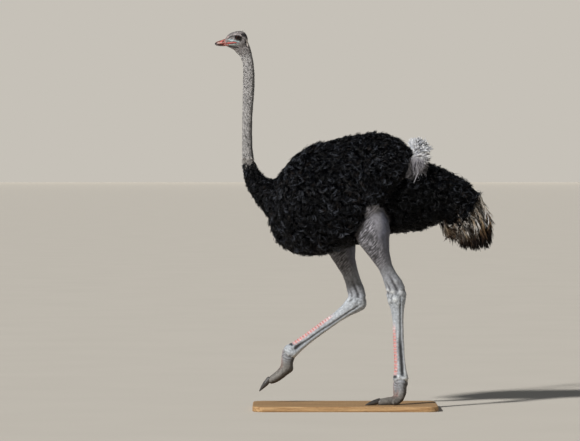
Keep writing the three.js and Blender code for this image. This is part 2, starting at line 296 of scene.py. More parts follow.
def refine(mesh, choose):
    """Cuts each face whose corners are all chosen into four."""
    chosen = choose(points_of(mesh))
    work = bmesh.new()
    work.from_mesh(mesh)
    faces = [f for f in work.faces if all(chosen[v.index] for v in f.verts)]
    edges = list(dict.fromkeys(e for f in faces for e in f.edges))
    bmesh.ops.subdivide_edges(work, edges=edges, cuts=1, use_grid_fill=True)
    work.to_mesh(mesh)
    work.free()


low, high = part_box("eye_left")
EYE = np.array([(low[i] + high[i]) / 2 for i in range(3)])
EYE_X, EYE_Y, EYE_Z = EYE
EYE_RADIUS = (high.y - low.y) / 2


def from_eye(points):
    """Each point seen from the middle of the eye on its own side: outwards, back and up."""
    return np.column_stack([np.abs(points[:, 0]), points[:, 1:]]) - EYE


refine(skin.data, lambda p: in_zone(zones_of(p), *FINE_ZONES))
refine(skin.data, lambda p: np.linalg.norm(from_eye(p), axis=1) < FINE_ROUND_EYE)

# Where the face has folds and marks it is finer again: (back, up) from and to, in mm from the eye.
FINE_FACE = [(-96, -46, 6, -16), (-56, -2, -26, 28), (38, -52, 64, -4), (-84, -22, -62, 8)]


def on_fine_face(points):
    """True on the sides of the head inside the rectangles of FINE_FACE."""
    aside, back, up = (from_eye(points) * 1000).T
    inside = np.zeros(len(points), bool)
    for first_back, first_up, last_back, last_up in FINE_FACE:
        inside |= (back > first_back) & (back < last_back) & (up > first_up) & (up < last_up)
    return inside & (aside > -20)


refine(skin.data, on_fine_face)
points = points_of(skin.data)
zones = zones_of(points)
edges = edges_of(skin.data)
fine = in_zone(zones, *FINE_ZONES)
points = np.where(fine[:, None], evened(points, edges, 6, TAUBIN), points)
move_points(skin.data, points)

# How far the skin lies inside the solids: nothing on bare legs, the depth of the feathers elsewhere.
COAT_DEPTH = {
    "head": 0.0010, "eye": 0.0, "bill": 0.0035, "claw": 0.0035,
    "neck_upper": 0.0022, "neck_lower": 0.0030, "neck_base": 0.011, "trunk": 0.0135,
    "wing": 0.0135, "tail": 0.0145, "shin": 0.0, "shank": 0.0, "toe": 0.0,
}
depth = np.zeros((len(points), 1))
for part, deep in COAT_DEPTH.items():
    depth[in_zone(zones, part)] = deep
depth = evened(depth, edges, 10)
BILL_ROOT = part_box("head")[0].y
BILL_CORE_DEPTH, CERE_WIDE = 0.0055, 0.0065


def eased(value, start, end):
    """0 before start, 1 after end and a smooth rise between them."""
    share = np.clip((value - start) / (end - start), 0, 1)
    return share * share * (3 - 2 * share)


creep = 0.0025 * np.array([noise.noise(Vector(p) * 140) for p in points.tolist()])
face_depth = 0.0004 + BILL_CORE_DEPTH * eased(points[:, 1] + creep, BILL_ROOT - 0.004, BILL_ROOT - 0.009)
depth[:, 0] = np.where(points[:, 1] < BILL_ROOT + 0.022, face_depth, depth[:, 0])
points -= normals_of(skin.data) * (depth + SWELL)


def bump_at(distance, reach):
    """1 at no distance, falling smoothly to nothing at about twice the reach."""
    return np.exp(-((distance / reach) ** 2))


def noise_at(points, size, seed=0.0):
    """A smooth value from about -1 to 1 at each point, changing over this size in metres."""
    return np.array([noise.noise(Vector(p) / size + Vector((seed, 0, 0))) for p in points.tolist()])


def line_distance(flat, line):
    """How far each point of a plane lies from a broken line, and how far along it, from 0 to 1."""
    best, share = np.full(len(flat), np.inf), np.zeros(len(flat))
    line = [np.array(corner, float) for corner in line]
    for number, (start, end) in enumerate(zip(line, line[1:])):
        along = end - start
        part = np.clip(((flat - start) @ along) / (along @ along), 0, 1)
        away = np.linalg.norm(flat - start - part[:, None] * along, axis=1)
        closer = away < best
        best = np.where(closer, away, best)
        share = np.where(closer, (number + part) / (len(line) - 1), share)
    return best, share


def folds_over(flat, folds, share=1.0):
    """How far folds (a line, its half width and its height in mm) raise each point of a side view, in m."""
    raised = np.zeros(len(flat))
    for line, half_width, height in folds:
        raised += height / 1000 * bump_at(line_distance(flat, line)[0], half_width) * share
    return raised


# Eyelids: the skin dips under the eyeball inside a slanting almond, stands up as a rounded margin
# along it, and falls into a shallow fold outside.
LID_HALF_WIDTH, LID_HALF_HEIGHT = math.radians(53), math.radians(27)
LID_SLANT = 0.22
LID_SUNK, LID_EDGE = 0.004, 0.0054
# The rolls and folds round the lids: how far out, where 1 is the edge of the ball, reach and height.
LID_ROLLS = [(1.11, 0.07, 0.0007), (1.36, 0.12, -0.0009), (1.62, 0.10, 0.0006), (1.86, 0.12, -0.0010)]
away = from_eye(points)
radius = np.linalg.norm(away, axis=1)
level = np.arctan2(away[:, 1], away[:, 0])
raised = np.arcsin(np.clip(away[:, 2] / radius, -1, 1)) + LID_SLANT * level
lid = np.hypot(level / LID_HALF_WIDTH, raised / LID_HALF_HEIGHT)
lid = np.where(away[:, 0] < -0.3 * radius, 9, lid)
lid_height = EYE_RADIUS - LID_SUNK + LID_EDGE * eased(lid, 0.88, 1.02)
for out, reach, height in LID_ROLLS:
    lid_height += height * bump_at(lid - out, reach)
follows_ball = eased(lid, 2.15, 1.35) * eased(radius, 0.044, 0.030)
wanted = radius + follows_ball * (lid_height - radius)
sides = np.column_stack([np.sign(points[:, 0]), np.ones((len(points), 2))])
moved = (away * (wanted / radius)[:, None] + EYE) * sides
points = np.where((follows_ball > 0)[:, None], moved, points)

# Folds and ridges of the face, each a line seen from the side in mm from the middle of the eye
# (back, up), with its half width and its height in mm.
FACE_FOLDS = [
    ([(-60, 4), (-40, 17), (-16, 30), (10, 34), (30, 26)], 6.0, 2.6),  # brow ridge
    ([(-54, -2), (-40, 5), (-30, 9), (-21, 10)], 1.9, -2.4),  # under the brow
    ([(-24, 15), (-8, 21), (10, 19), (22, 9)], 2.6, 1.3),  # edge of the brow over the eye
    ([(-46, -9), (-34, -9)], 8.0, -2.2),  # hollow before the eye
    ([(-27, -19), (-4, -27), (16, -22), (25, -8)], 1.6, -1.0),  # under the eye
    ([(-74, -31), (-40, -28), (-16, -26), (-9, -29)], 2.8, 1.9),  # upper lip of the gape
    ([(-78, -37), (-50, -35), (-24, -32), (-11, -31)], 1.3, -3.0),  # gape
    ([(-76, -42), (-44, -39), (-18, -37), (-7, -34)], 2.4, 1.5),  # lower lip
    ([(-66, -47), (-34, -48), (-4, -44)], 2.2, -1.4),  # under the jaw
    ([(-9, -27), (-5, -33), (-6, -40)], 1.4, -1.3),  # corner of the mouth
    ([(42, -14), (44, -28), (50, -42)], 2.4, -4.0),  # ear opening
    ([(50, -10), (53, -30), (58, -46)], 4.0, 1.6),  # rim behind the ear
    ([(36, -14), (38, -28), (42, -40)], 2.6, 1.0),  # rim before the ear
    ([(10, -26), (24, -38), (20, -56)], 7.0, 1.6),  # cheek
    ([(24, 16), (36, 2), (34, -12)], 6.0, -1.2),  # behind the eye
    ([(-30, -50), (-10, -62), (4, -78)], 2.0, -0.9),  # folds of the throat
    ([(-20, -50), (0, -60), (16, -76)], 2.0, -0.7),
]
FACE_LOW, FACE_BACK, FACE_FRONT = 2.03, -0.53, -0.69
side_view = from_eye(points)[:, 1:] * 1000
on_side = eased(np.abs(points[:, 0]), 0.010, 0.018)
near_face = (points[:, 2] > FACE_LOW) & (points[:, 1] < FACE_BACK) & (points[:, 1] > FACE_FRONT)
move_points(skin.data, points)
rise = folds_over(side_view, FACE_FOLDS) * (on_side * near_face * eased(lid, 1.1, 1.5))
points += normals_of(skin.data) * rise[:, None]
move_points(skin.data, points)


# Bare legs: sinews and knobs stand out at the hock, a hollow runs down each side between the bone and
# the sinew behind it, and horny plates lie down the front of the shank and over the toes.
JOINTS = {
    "left": {"knee": (0.165, 0.101, 1.191), "hock": (0.105, 0.293, 0.665), "foot": (0.070, 0.319, 0.160)},
    "right": {
        "knee": (-0.165, -0.073, 1.156), "hock": (-0.115, 0.078, 0.617), "foot": (-0.088, -0.317, 0.325),
    },
}
PLATE_SPACING, PLATE_HIGH = 0.018, 0.0022
TOE_PLATE_SPACING, TOE_PLATE_HIGH = 0.009, 0.0012
SHANK_LONG = 0.505


def along_bone(points, start, end):
    """Where points lie on a bone: the share of its length, and how far in front and to the side."""
    start, end = np.array(start), np.array(end)
    bone = end - start
    share = (points - start) @ bone / (bone @ bone)
    across = points - start - share[:, None] * bone
    forward = np.array([0, bone[2], -bone[1]]) / np.hypot(bone[1], bone[2])
    return share, across @ forward, across[:, 0]


def saw(distance, spacing):
    """Rises from 0 to 1 over each plate and drops at its edge."""
    return (distance / spacing) % 1.0


# The skin is smoothed where the feathers end, at a place given from the knee, and round the joints.
THIGH_TOP, THIGH_REACH = (0, 0.062, -0.085), 0.072
JOINT_REACH = {"hock": 0.055, "foot": 0.050}
near_thigh = np.zeros(len(points))
for joints in JOINTS.values():
    middle = np.array(joints["knee"]) + THIGH_TOP
    near_thigh += bump_at(np.linalg.norm((points - middle) * (0.6, 1, 1), axis=1), THIGH_REACH)
near_thigh = np.clip(1.6 * near_thigh, 0, 1)[:, None]
points += near_thigh * (evened(points, edges, 40) - points)
near_joint = np.zeros(len(points))
for joints in JOINTS.values():
    for joint, reach in JOINT_REACH.items():
        near_joint += bump_at(np.linalg.norm(points - joints[joint], axis=1), reach)
near_joint = np.clip(near_joint * 1.4, 0, 1)[:, None]
points += near_joint * (evened(points, edges, 30, TAUBIN + (0.5, -0.5)) - points)
move_points(skin.data, points)
outward = normals_of(skin.data)

# Each knob by its bone, its share of that bone, how far forward it sits, its reach and its height.
KNOBS = [
    ("shin", 0.955, 0.018, 0.015, 0.0075),
    ("shin", 0.985, -0.026, 0.015, 0.0060),
    ("shin", 0.925, 0.038, 0.012, 0.0060),
    ("shin", 0.870, -0.020, 0.014, 0.0035),
    ("shank", 0.050, 0.010, 0.016, 0.0070),
    ("shank", 0.070, 0.040, 0.013, 0.0050),
    ("shank", 0.100, -0.012, 0.010, 0.0035),
    ("shank", 0.935, 0.010, 0.012, 0.0055),
    ("shank", 0.975, 0.020, 0.010, 0.0045),
    ("shank", 0.965, -0.024, 0.014, 0.0065),
]
HIGHEST_KNOB = max(knob[-1] for knob in KNOBS)
# Each hollow by its leg, its bone, where it starts and ends (share, forward), half width and depth.
HOLLOWS = [
    ("both", "shin", (0.78, 0.002), (0.97, -0.012), 0.010, 0.0055),
    ("both", "shin", (0.84, 0.030), (0.97, 0.022), 0.006, 0.0040),
    ("both", "shank", (0.00, 0.026), (0.10, 0.030), 0.006, 0.0030),
    ("both", "shank", (0.03, -0.020), (0.55, -0.009), 0.0055, 0.0048),
    ("left", "shank", (0.50, -0.009), (0.93, -0.013), 0.0115, 0.0125),
    ("right", "shank", (0.50, -0.007), (0.88, -0.005), 0.0055, 0.0060),
    ("right", "shank", (0.80, -0.002), (0.94, -0.002), 0.0110, 0.0110),
]
# The cushion under each toe: where it lies (back, up) from the ankle, its reach and its height.
PADS = {"left": ((0.012, -0.062), 0.030, 0.009), "right": ((0.000, -0.098), 0.027, 0.014)}
MOTTLE_SIZE, PIT_DEPTH = 0.011, 0.0012
ANKLE_FOLD_SIZE, ANKLE_FOLD_HIGH = 0.0026, 0.0016
rise, sink, shade, plates, knob_highlight, black_patch = np.zeros((6, len(points)))
shank_share = np.full(len(points), -1.0)


def of_leg(side, *parts):
    """True on these parts of the leg of one side."""
    return in_zone(zones, *(f"{part}_{side}" for part in parts))


for side, joints in JOINTS.items():
    bones = {
        "shin": (joints["knee"], joints["hock"], of_leg(side, "shin", "shank")),
        "shank": (joints["hock"], joints["foot"], of_leg(side, "shank", "toe_inner", "shin")),
    }
    for bone, share, forward, reach, height in KNOBS:
        start, end, here = bones[bone]
        along, front, aside = along_bone(points, start, end)
        distance = np.hypot((along - share) * math.dist(start, end), front - forward)
        knob = here * bump_at(distance, reach) * eased(np.abs(aside), 0.006, 0.016)
        rise += height * knob
        knob_highlight = np.maximum(knob_highlight, knob * height / HIGHEST_KNOB)
    for leg, bone, first, last, half_width, deep in HOLLOWS:
        if leg not in ("both", side):
            continue
        start, end, here = bones[bone]
        along, front, aside = along_bone(points, start, end)
        share = np.clip((along - first[0]) / (last[0] - first[0]), 0, 1)
        middle = first[1] + share * (last[1] - first[1])
        ends = eased(along, first[0] - 0.06, first[0] + 0.10) * eased(along, last[0] + 0.02, last[0] - 0.03)
        hollow = here * ends * bump_at(front - middle, half_width) * eased(np.abs(aside), 0.003, 0.012)
        sink += deep * hollow * np.sign(aside)
        # Each hollow also sets the painted shade that darkens it in the tones below.
        shade = np.maximum(shade, hollow * min(1.0, deep / 0.008))
    here = of_leg(side, "shank")
    along, front, aside = along_bone(points, joints["hock"], joints["foot"])
    before = here * eased(np.arctan2(np.abs(aside), front), math.radians(64), math.radians(42))
    rows = before * eased(along, 0.30, 0.42) * eased(along, 0.93, 0.89)
    rise += rows * PLATE_HIGH * saw(along * math.dist(joints["hock"], joints["foot"]), PLATE_SPACING)
    plates = np.maximum(plates, rows)
    black_patch += before * bump_at(along - 0.935, 0.018)
    shank_share = np.where(here, along, shank_share)
    toes = of_leg(side, "toe_inner", "toe_outer")
    reach = np.linalg.norm(points - joints["foot"], axis=1)
    over = toes * eased(outward[:, 2], 0.10, 0.55) * eased(reach, 0.045, 0.075)
    rise += over * TOE_PLATE_HIGH * saw(reach, TOE_PLATE_SPACING)
    place, pad_reach, height = PADS[side]
    below = np.array(joints["foot"]) + (0, *place)
    pad = toes * bump_at(np.linalg.norm(points - below, axis=1), pad_reach)
    rise += height * pad * eased(outward[:, 1] - outward[:, 2], -0.2, 0.6)
    ankle = toes * bump_at(reach - 0.03, 0.035)
    wander = np.array([noise.noise(Vector(p) * 30) for p in points[toes].tolist()])
    folds = np.zeros(len(points))
    phase = points[toes, 2] / ANKLE_FOLD_SIZE + 90 * points[toes, 1] + 5 * wander
    folds[toes] = np.sin(phase) * (0.5 + wander)
    rise += ankle * ANKLE_FOLD_HIGH * folds
bare_leg = in_zone(zones, "shin", "shank", "toe")
pits = np.zeros(len(points))
pits[bare_leg] = noise_at(points[bare_leg], MOTTLE_SIZE)
knobby = np.clip(near_joint[:, 0], 0, 1) * bare_leg
rise += PIT_DEPTH * knobby * pits
points += outward * rise[:, None]
points[:, 0] -= sink
move_points(skin.data, points)
make_active(skin)
bpy.ops.object.shade_smooth()


# The markings of the skin, with painted shade and painted highlights among them, laid on in order: the
# tone of each part, then the marks of the face as lines from the middle of the eye in mm, as for the
# folds, and the marks of the legs.
# The near-black tones of neck_base, trunk, wing and tail are painted shade for the skin that shows between
# the black locks.
PART_TONES = {
    "head": "#6d6866", "eye": "#6d6866", "bill": "#2b110f", "neck": "#9a9795", "neck_base": "#060607",
    "trunk": "#030304", "wing": "#030304", "tail": "#030304", "shin": "#6e6c70", "shank": "#9a9ea2",
    "toe": "#6b6761", "claw": "#3a3634",
}
FACE_MARKS = [
    ([(-66, 24), (-40, 38), (0, 44), (22, 38)], 12, "#857d7b", 0.8),  # crown
    ([(-62, 22), (-50, 30), (-36, 38)], 2.6, "#2c2827", 0.75),  # dark streak over the brow
    ([(-46, 22), (-26, 36), (-8, 44)], 2.2, "#353130", 0.65),
    ([(-14, 34), (4, 38), (22, 36)], 3.0, "#403b3a", 0.6),
    ([(-66, 0), (-54, 10)], 9, "#86726e", 0.6),  # pink brow
    ([(-58, -4), (-42, 5), (-30, 9), (-21, 10)], 2.6, "#151112", 0.95),  # shade under the brow
    ([(-26, 17), (-8, 23), (10, 21), (22, 12)], 3.2, "#a79b97", 0.75),  # pale edge of the brow
    ([(-54, -8), (-40, -12), (-27, -15)], 5.5, "#a9b9bb", 0.85),  # pale patch before the eye
    ([(-41, -10), (-37, -12)], 3.0, "#4c605f", 0.7),  # its dark middle
    ([(-28, -14), (-8, -20), (10, -22)], 4.2, "#8ea6a8", 0.75),  # pale blue under the eye
    ([(-79, -12), (-77, -42)], 7, "#99584f", 0.85),  # root of the bill
    ([(-68, -31), (-40, -29), (-12, -27)], 5.4, "#ad463c", 0.93),  # red upper lip
    ([(-13, -28), (-8, -31)], 3.0, "#6d1713", 0.8),  # its dark end
    ([(-76, -42), (-52, -41)], 3.2, "#a85a50", 0.8),  # red root of the lower lip
    ([(-50, -40), (-18, -39), (2, -36)], 3.0, "#8a9c93", 0.75),  # pale green behind it
    # Painted shade in the gape, where the jaws part.
    ([(-78, -37), (-50, -35), (-24, -32), (-11, -31)], 1.1, "#1d0807", 0.97),  # line of the mouth
    ([(2, -30), (9, -34)], 4.0, "#554c57", 0.6),
    ([(-76, -47), (-45, -49), (-12, -53), (0, -54)], 5.0, "#15100d", 0.95),  # shade of the jaw
    ([(-38, -58), (-18, -72), (0, -85)], 5, "#8d7d6b", 0.5),  # throat
    ([(22, 20), (40, 15), (56, 2)], 12, "#1a171b", 0.95),  # behind the eye
    ([(34, -4), (40, -20), (38, -40)], 6, "#4f4a4a", 0.55),
    ([(52, -12), (57, -46)], 5.6, "#c9bfb5", 0.97),  # pale feathers over the ear
    # Painted shade inside the ear opening.
    ([(43, -12), (44, -28), (50, -46)], 2.8, "#0c0808", 0.97),  # ear opening
    ([(46, -48), (60, -56)], 2.8, "#1f1917", 0.8),
    # Dark line down the nape: partly dark bristles, partly painted shade on the rear edge away from the
    # light.
    ([(62, 4), (67, -30), (73, -58)], 6.0, "#1f1b20", 0.85),
    ([(34, -66), (46, -63), (58, -67)], 3.2, "#2d2725", 0.5),
]


# Feathers leave the top of each thigh bare, on its outer side: a line (back, up) from the knee, how far
# round it, and how far out from the middle of the bird.
BARE_THIGH = [(0.056, -0.053), (0.065, -0.141)]
BARE_REACH, BARE_OUTSIDE = 0.045, 0.095


def on_bare_thigh(points, wander):
    """1 on the outer side of the thighs where no feathers lie, with an edge that wanders."""
    bare = np.zeros(len(points))
    for side, joints in JOINTS.items():
        away, along = line_distance(points[:, 1:] - joints["knee"][1:], BARE_THIGH)
        outside = points[:, 0] * SIDES[side] > BARE_OUTSIDE
        near = eased(away + 0.012 * wander, BARE_REACH + 0.002, BARE_REACH - 0.004)
        bare = np.maximum(bare, outside * near)
    return bare


def painted(under, share, hex_colour):
    """The tones with this colour laid over them by its share, from 0 to 1."""
    share = np.clip(share, 0, 1)[:, None]
    return under * (1 - share) + np.array(linear(hex_colour)[:3]) * share


side_view = from_eye(points)[:, 1:] * 1000
tones = np.zeros((len(points), 3))
for part, hex_colour in PART_TONES.items():
    tones[in_zone(zones, part)] = linear(hex_colour)[:3]
on_cere = in_zone(zones, "bill") & (points[:, 1] > BILL_ROOT - CERE_WIDE)
tones[on_cere] = linear("#b57d74")[:3]
blended = evened(tones, edges, 40)
tones = np.where(bare_leg[:, None] & (points[:, 2:] < 0.80), blended, evened(tones, edges, 4))
face = np.flatnonzero(near_face)
wobble, speckle = np.zeros((2, len(points)))
wobble[face] = noise_at(points[face], 0.007)
speckle[face] = noise_at(points[face], 0.0028, 7)
for line, half_width, hex_colour, share in FACE_MARKS:
    away, along = line_distance(side_view, line)
    taper = 1 - 0.45 * np.abs(2 * along - 1) ** 2
    away = away / taper + wobble * min(2.2, 0.6 * half_width)
    laid = share * eased(away, half_width * 1.35, half_width * 0.35) * on_side * near_face
    tones = painted(tones, laid * np.clip(0.95 + 0.25 * speckle, 0, 1), hex_colour)
tones[face] *= np.clip(1 + 0.9 * speckle[face] + 0.5 * wobble[face], 0.15, 1.8)[:, None]
ridge = bump_at(points[:, 0], 0.012) * near_face * (side_view[:, 1] > 12) * (0.6 + speckle)
tones = painted(tones, 0.8 * ridge, "#262322")
lid_line = 0.35 + 0.3 * (raised > -0.1)
tones = painted(tones, lid_line * eased(lid, 1.75, 1.18) * (radius < 0.035), "#2b2628")
tones = painted(tones, eased(lid, 1.18, 1.07) * (radius < 0.035), "#0c0a0b")

# Painted shade in the hollows of the legs.
tones = painted(tones, 0.85 * shade * bare_leg, "#1b1a1d")
row_colour = eased(shank_share, 0.33, 0.50)
# Tones follow the pits, lighter on their bumps and darker in them: a mottle of the skin, stronger round the
# joints, where it is also painted shade and light of the pitted relief.
tones *= (1 + pits * (0.20 + 0.25 * knobby))[:, None]
gap = bump_at(saw(np.where(shank_share > 0, shank_share, 0) * SHANK_LONG, PLATE_SPACING) - 0.5, 0.27)
tones = painted(tones, plates * (0.35 + 0.65 * gap) * (0.45 + 0.55 * row_colour), "#ba675e")
tones = painted(tones, 0.9 * plates * (1 - gap) * (1 - 0.5 * row_colour), "#cbbab6")
tones = painted(tones, black_patch, "#131116")
wrinkled = np.zeros(len(points))
for side, joints in JOINTS.items():
    shin, toes = of_leg(side, "shin"), of_leg(side, "toe_inner", "toe_outer")
    along, front, aside = along_bone(points, joints["hock"], joints["foot"])
    sinew = of_leg(side, "shank") * eased(front, -0.018, -0.030) * eased(along, 0.1, 0.3)
    tones = painted(tones, 0.65 * sinew, "#bfc0be")
    along, front, aside = along_bone(points, joints["knee"], joints["hock"])
    # Painted shade down the back of the shin, which faces away from the light, in a cool blue-grey.
    behind = shin * eased(front, 0.01, -0.05) * eased(along, 0.80, 0.55)
    tones = painted(tones, 0.7 * behind, "#4a4d5c")
    low_shin = shin * eased(along, 0.58, 0.80) * (1 - shade)
    tones = painted(tones, 0.85 * low_shin, "#86888c")
    wrinkled += shin * eased(along, 0.82, 0.55) * eased(front, -0.035, 0.005)
    reach = np.linalg.norm(points - joints["foot"], axis=1)
    tones = painted(tones, 0.8 * toes * eased(reach + 0.3 * pits * 0.03, 0.095, 0.040), "#84868a")
    under_toe = toes * eased(outward[:, 2] - 0.5 * outward[:, 1], 0.15, -0.5)
    tones = painted(tones, 0.75 * under_toe, "#3a3632")
    on_top = toes * eased(outward[:, 2] - outward[:, 1], 0.5, 1.0) * bump_at(reach - 0.075, 0.035)
    tones = painted(tones, 0.5 * on_top * (saw(reach, TOE_PLATE_SPACING) > 0.35), "#96685f")
# Painted highlight on the knobs of the left leg, the side that the light falls on.
tones = painted(tones, 0.6 * knob_highlight**1.5 * (points[:, 0] > 0), "#cccdca")
bare_thigh = on_bare_thigh(points, 0.5 * noise_at(points, 0.02))
over_seam = evened(bare_thigh, edges, 24)[:, 0]
tones = painted(tones, np.where(bare_leg, 0.9 * over_seam, bare_thigh), "#7f7d82")
wrinkled = evened(wrinkled + bare_thigh * ~bare_leg, edges, 6)[:, 0]
scaly = evened(bare_leg.astype(float), edges, 8)[:, 0]


def keep_tones(mesh, tones):
    """Stores the tone of each vertex, for a material to read."""
    rows = np.ones((len(tones), 4), np.float32)
    rows[:, :3] = tones
    mesh.attributes.new("tone", "FLOAT_COLOR", "POINT").data.foreach_set("color", rows.ravel())


# Painted shade and light from the curvature: hollows of the legs and face are darkened, knobs and ridges
# lightened.
curvature_shade = ((evened(points, edges, 6) - points) * normals_of(skin.data)).sum(axis=1) * 1000
curvature_shade = np.clip(curvature_shade, -0.4, 0.7) * (bare_leg | near_face)
skin_tone = tones * np.clip(1 - 0.6 * curvature_shade, 0.4, 1.25)[:, None]
keep_tones(skin.data, skin_tone)
for name, share in (("wrinkled", wrinkled), ("scaly", scaly)):
    stored = skin.data.attributes.new(name, "FLOAT", "POINT")
    stored.data.foreach_set("value", share.astype(np.float32))

# Living bare skin, leathery and faintly damp: scales of 3 mm all over it, and on the thighs creases
# 6 mm apart that climb backwards. The creases are darkened and the folds lightened in its colour, as
# painted shade and light over their bump, and a low even sheen keeps it looking like hide and not paint.
SCALE_MM, BLOTCH_MM = 3.2, 14
CREASE_MM, CREASE_LONG_MM, CREASE_ACROSS_MM = 6.2, 34.0, 45
CREASE_CLIMB = math.radians(48)
hide, tree = new_material("bare_scaly_hide")
tone = add_node(tree, "Attribute", attribute_name="tone")
folded = add_node(tree, "Attribute", attribute_name="wrinkled").outputs["Fac"]
horny = add_node(tree, "Attribute", attribute_name="scaly").outputs["Fac"]
place = add_node(tree, "TexCoord").outputs["Object"]
turned = add_node(tree, "Mapping", {"Vector": place, "Rotation": (-CREASE_CLIMB, 0, 0)})
drawn_out = add_node(
    tree, "Mapping",
    {"Vector": turned, "Scale": (1000 / CREASE_ACROSS_MM, 1000 / CREASE_LONG_MM, 1000 / CREASE_MM)},
)
creases = add_node(tree, "TexNoise", {"Vector": drawn_out, "Scale": 1.0, "Detail": 2.0, "Roughness": 0.45})
off_crease = add_node(tree, "Math", {0: creases, 1: 0.5}, operation="SUBTRACT")
from_crease = add_node(tree, "Math", {0: off_crease}, operation="ABSOLUTE")
fine_lines = add_node(
    tree, "MapRange", {"Value": from_crease, "From Min": 0.0, "From Max": 0.05, "To Min": 0.5},
    interpolation_type="SMOOTHSTEP",
)
soft_folds = add_node(
    tree, "MapRange", {"Value": creases, "From Min": 0.37, "From Max": 0.60},
    interpolation_type="SMOOTHSTEP",
)
crease_height = add_node(tree, "Math", {0: soft_folds, 1: fine_lines}, operation="MULTIPLY")
crease_here = add_node(tree, "Math", {0: crease_height, 1: folded}, operation="MULTIPLY")
blotch = add_node(tree, "TexNoise", {"Vector": place, "Scale": 1000 / BLOTCH_MM, "Detail": 4.0})
blotch_share = add_node(
    tree, "MapRange",
    {"Value": blotch, "From Min": 0.3, "From Max": 0.7, "To Min": 0.72, "To Max": 1.22},
)
# Creases darkened and folds lightened in the colour: painted shade and light over the bump.
crease_shade_and_light = add_node(tree, "MapRange", {"Value": crease_height, "To Min": 0.26, "To Max": 1.40})
scales = add_node(
    tree, "TexVoronoi", {"Vector": place, "Scale": 1000 / SCALE_MM}, feature="DISTANCE_TO_EDGE"
)
scale_edge = add_node(tree, "MapRange", {"Value": scales, "From Max": 0.16, "To Min": 0.70, "To Max": 1.0})
coloured = tone
for share, darker in ((1.0, blotch_share), (folded, crease_shade_and_light), (horny, scale_edge)):
    coloured = add_node(
        tree, "Mix", {0: share, 6: coloured, 7: darker}, data_type="RGBA", blend_type="MULTIPLY"
    )
pores = add_node(tree, "TexNoise", {"Vector": place, "Scale": 900.0, "Detail": 3.0})
relief = add_node(tree, "Mix", {0: horny, 2: pores, 3: scale_edge}, data_type="FLOAT")
bump_scales = add_node(tree, "Bump", {"Strength": 0.5, "Distance": 0.0007, "Height": relief})
bump_creases = add_node(
    tree, "Bump", {"Strength": 0.9, "Distance": 0.0042, "Height": crease_here, "Normal": bump_scales}
)
shader = add_node(
    tree, "BsdfPrincipled",
    {"Base Color": coloured, "Roughness": 0.55, "Specular IOR Level": 0.30, "Normal": bump_creases},
)
add_node(tree, "OutputMaterial", {"Surface": shader})

# Skin under the black feathers: near black and quite dull, as painted shade, so that the gaps between the
# locks read as depth.
shade_dark_skin, tree = new_material("dull_skin_under_feathers")
tone = add_node(tree, "Attribute", attribute_name="tone")
shader = add_node(tree, "BsdfPrincipled", {"Base Color": tone, "Roughness": 1.0, "Specular IOR Level": 0.0})
add_node(tree, "OutputMaterial", {"Surface": shader})

skin.data.materials.clear()
skin.data.materials.append(hide)
skin.data.materials.append(shade_dark_skin)
hidden = in_zone(zones, "neck_base", "trunk", "wing", "tail") & (bare_thigh < 0.5)
first_loop = rows_of(skin.data.polygons, "loop_start", 1, np.int64)[:, 0]
loop_point = rows_of(skin.data.loops, "vertex_index", 1, np.int64)[:, 0]
all_hidden = np.minimum.reduceat(hidden[loop_point].astype(np.int32), first_loop)
skin.data.polygons.foreach_set("material_index", all_hidden)
bpy.ops.object.mode_set(mode="EDIT")
bpy.ops.mesh.select_all(action="SELECT")
skin.data.uv_layers.new(name="OFBake")
bpy.ops.uv.smart_project(angle_limit=math.radians(66), island_margin=0.001)
bpy.ops.object.mode_set(mode="OBJECT")
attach(skin, "root")
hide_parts(*FLESH)


# ------------------------------------------------------------------ eyes
# Each eye is a ball with a swollen clear front, a dark brown iris and a black pupil, always wet.
# The lids of the skin hold it.

IRIS, PUPIL, CORNEA = 0.0125, 0.0070, 0.0011

# Wet eye: a brown iris with rays under a clear gloss, black in the pupil and round the rim.
wet_eye, tree = new_material("wet_brown_eye")
place = add_node(tree, "TexCoord").outputs["Object"]
centred = add_node(tree, "Mapping", {"Vector": place, "Location": (0, -EYE_Y, -EYE_Z), "Scale": (0, 1, 1)})
reach = add_node(tree, "VectorMath", {0: centred}, operation="LENGTH")
rays = add_node(tree, "TexNoise", {"Vector": centred, "Scale": 420.0, "Detail": 3.0})
brown = add_node(tree, "Mix", {0: rays, 6: linear("#120805"), 7: linear("#3a1d0e")}, data_type="RGBA")
past_pupil = add_node(tree, "MapRange", {"Value": reach, "From Min": PUPIL, "From Max": PUPIL + 0.0012})
iris = add_node(tree, "Mix", {0: past_pupil, 6: linear("#050304"), 7: brown}, data_type="RGBA")
past_iris = add_node(tree, "MapRange", {"Value": reach, "From Min": IRIS - 0.002, "From Max": IRIS + 0.001})
tone = add_node(tree, "Mix", {0: past_iris, 6: iris, 7: linear("#0d0706")}, data_type="RGBA")
shader = add_node(
    tree, "BsdfPrincipled",
    {
        "Base Color": tone, "Roughness": 0.10, "Specular IOR Level": 0.15,
        "Coat Weight": 0.30, "Coat Roughness": 0.02,
    },
)
add_node(tree, "OutputMaterial", {"Surface": shader})


def finished(piece, material):
    """Gives a new piece its material and a smooth surface."""
    piece.data.materials.append(material)
    make_active(piece)
    bpy.ops.object.shade_smooth()


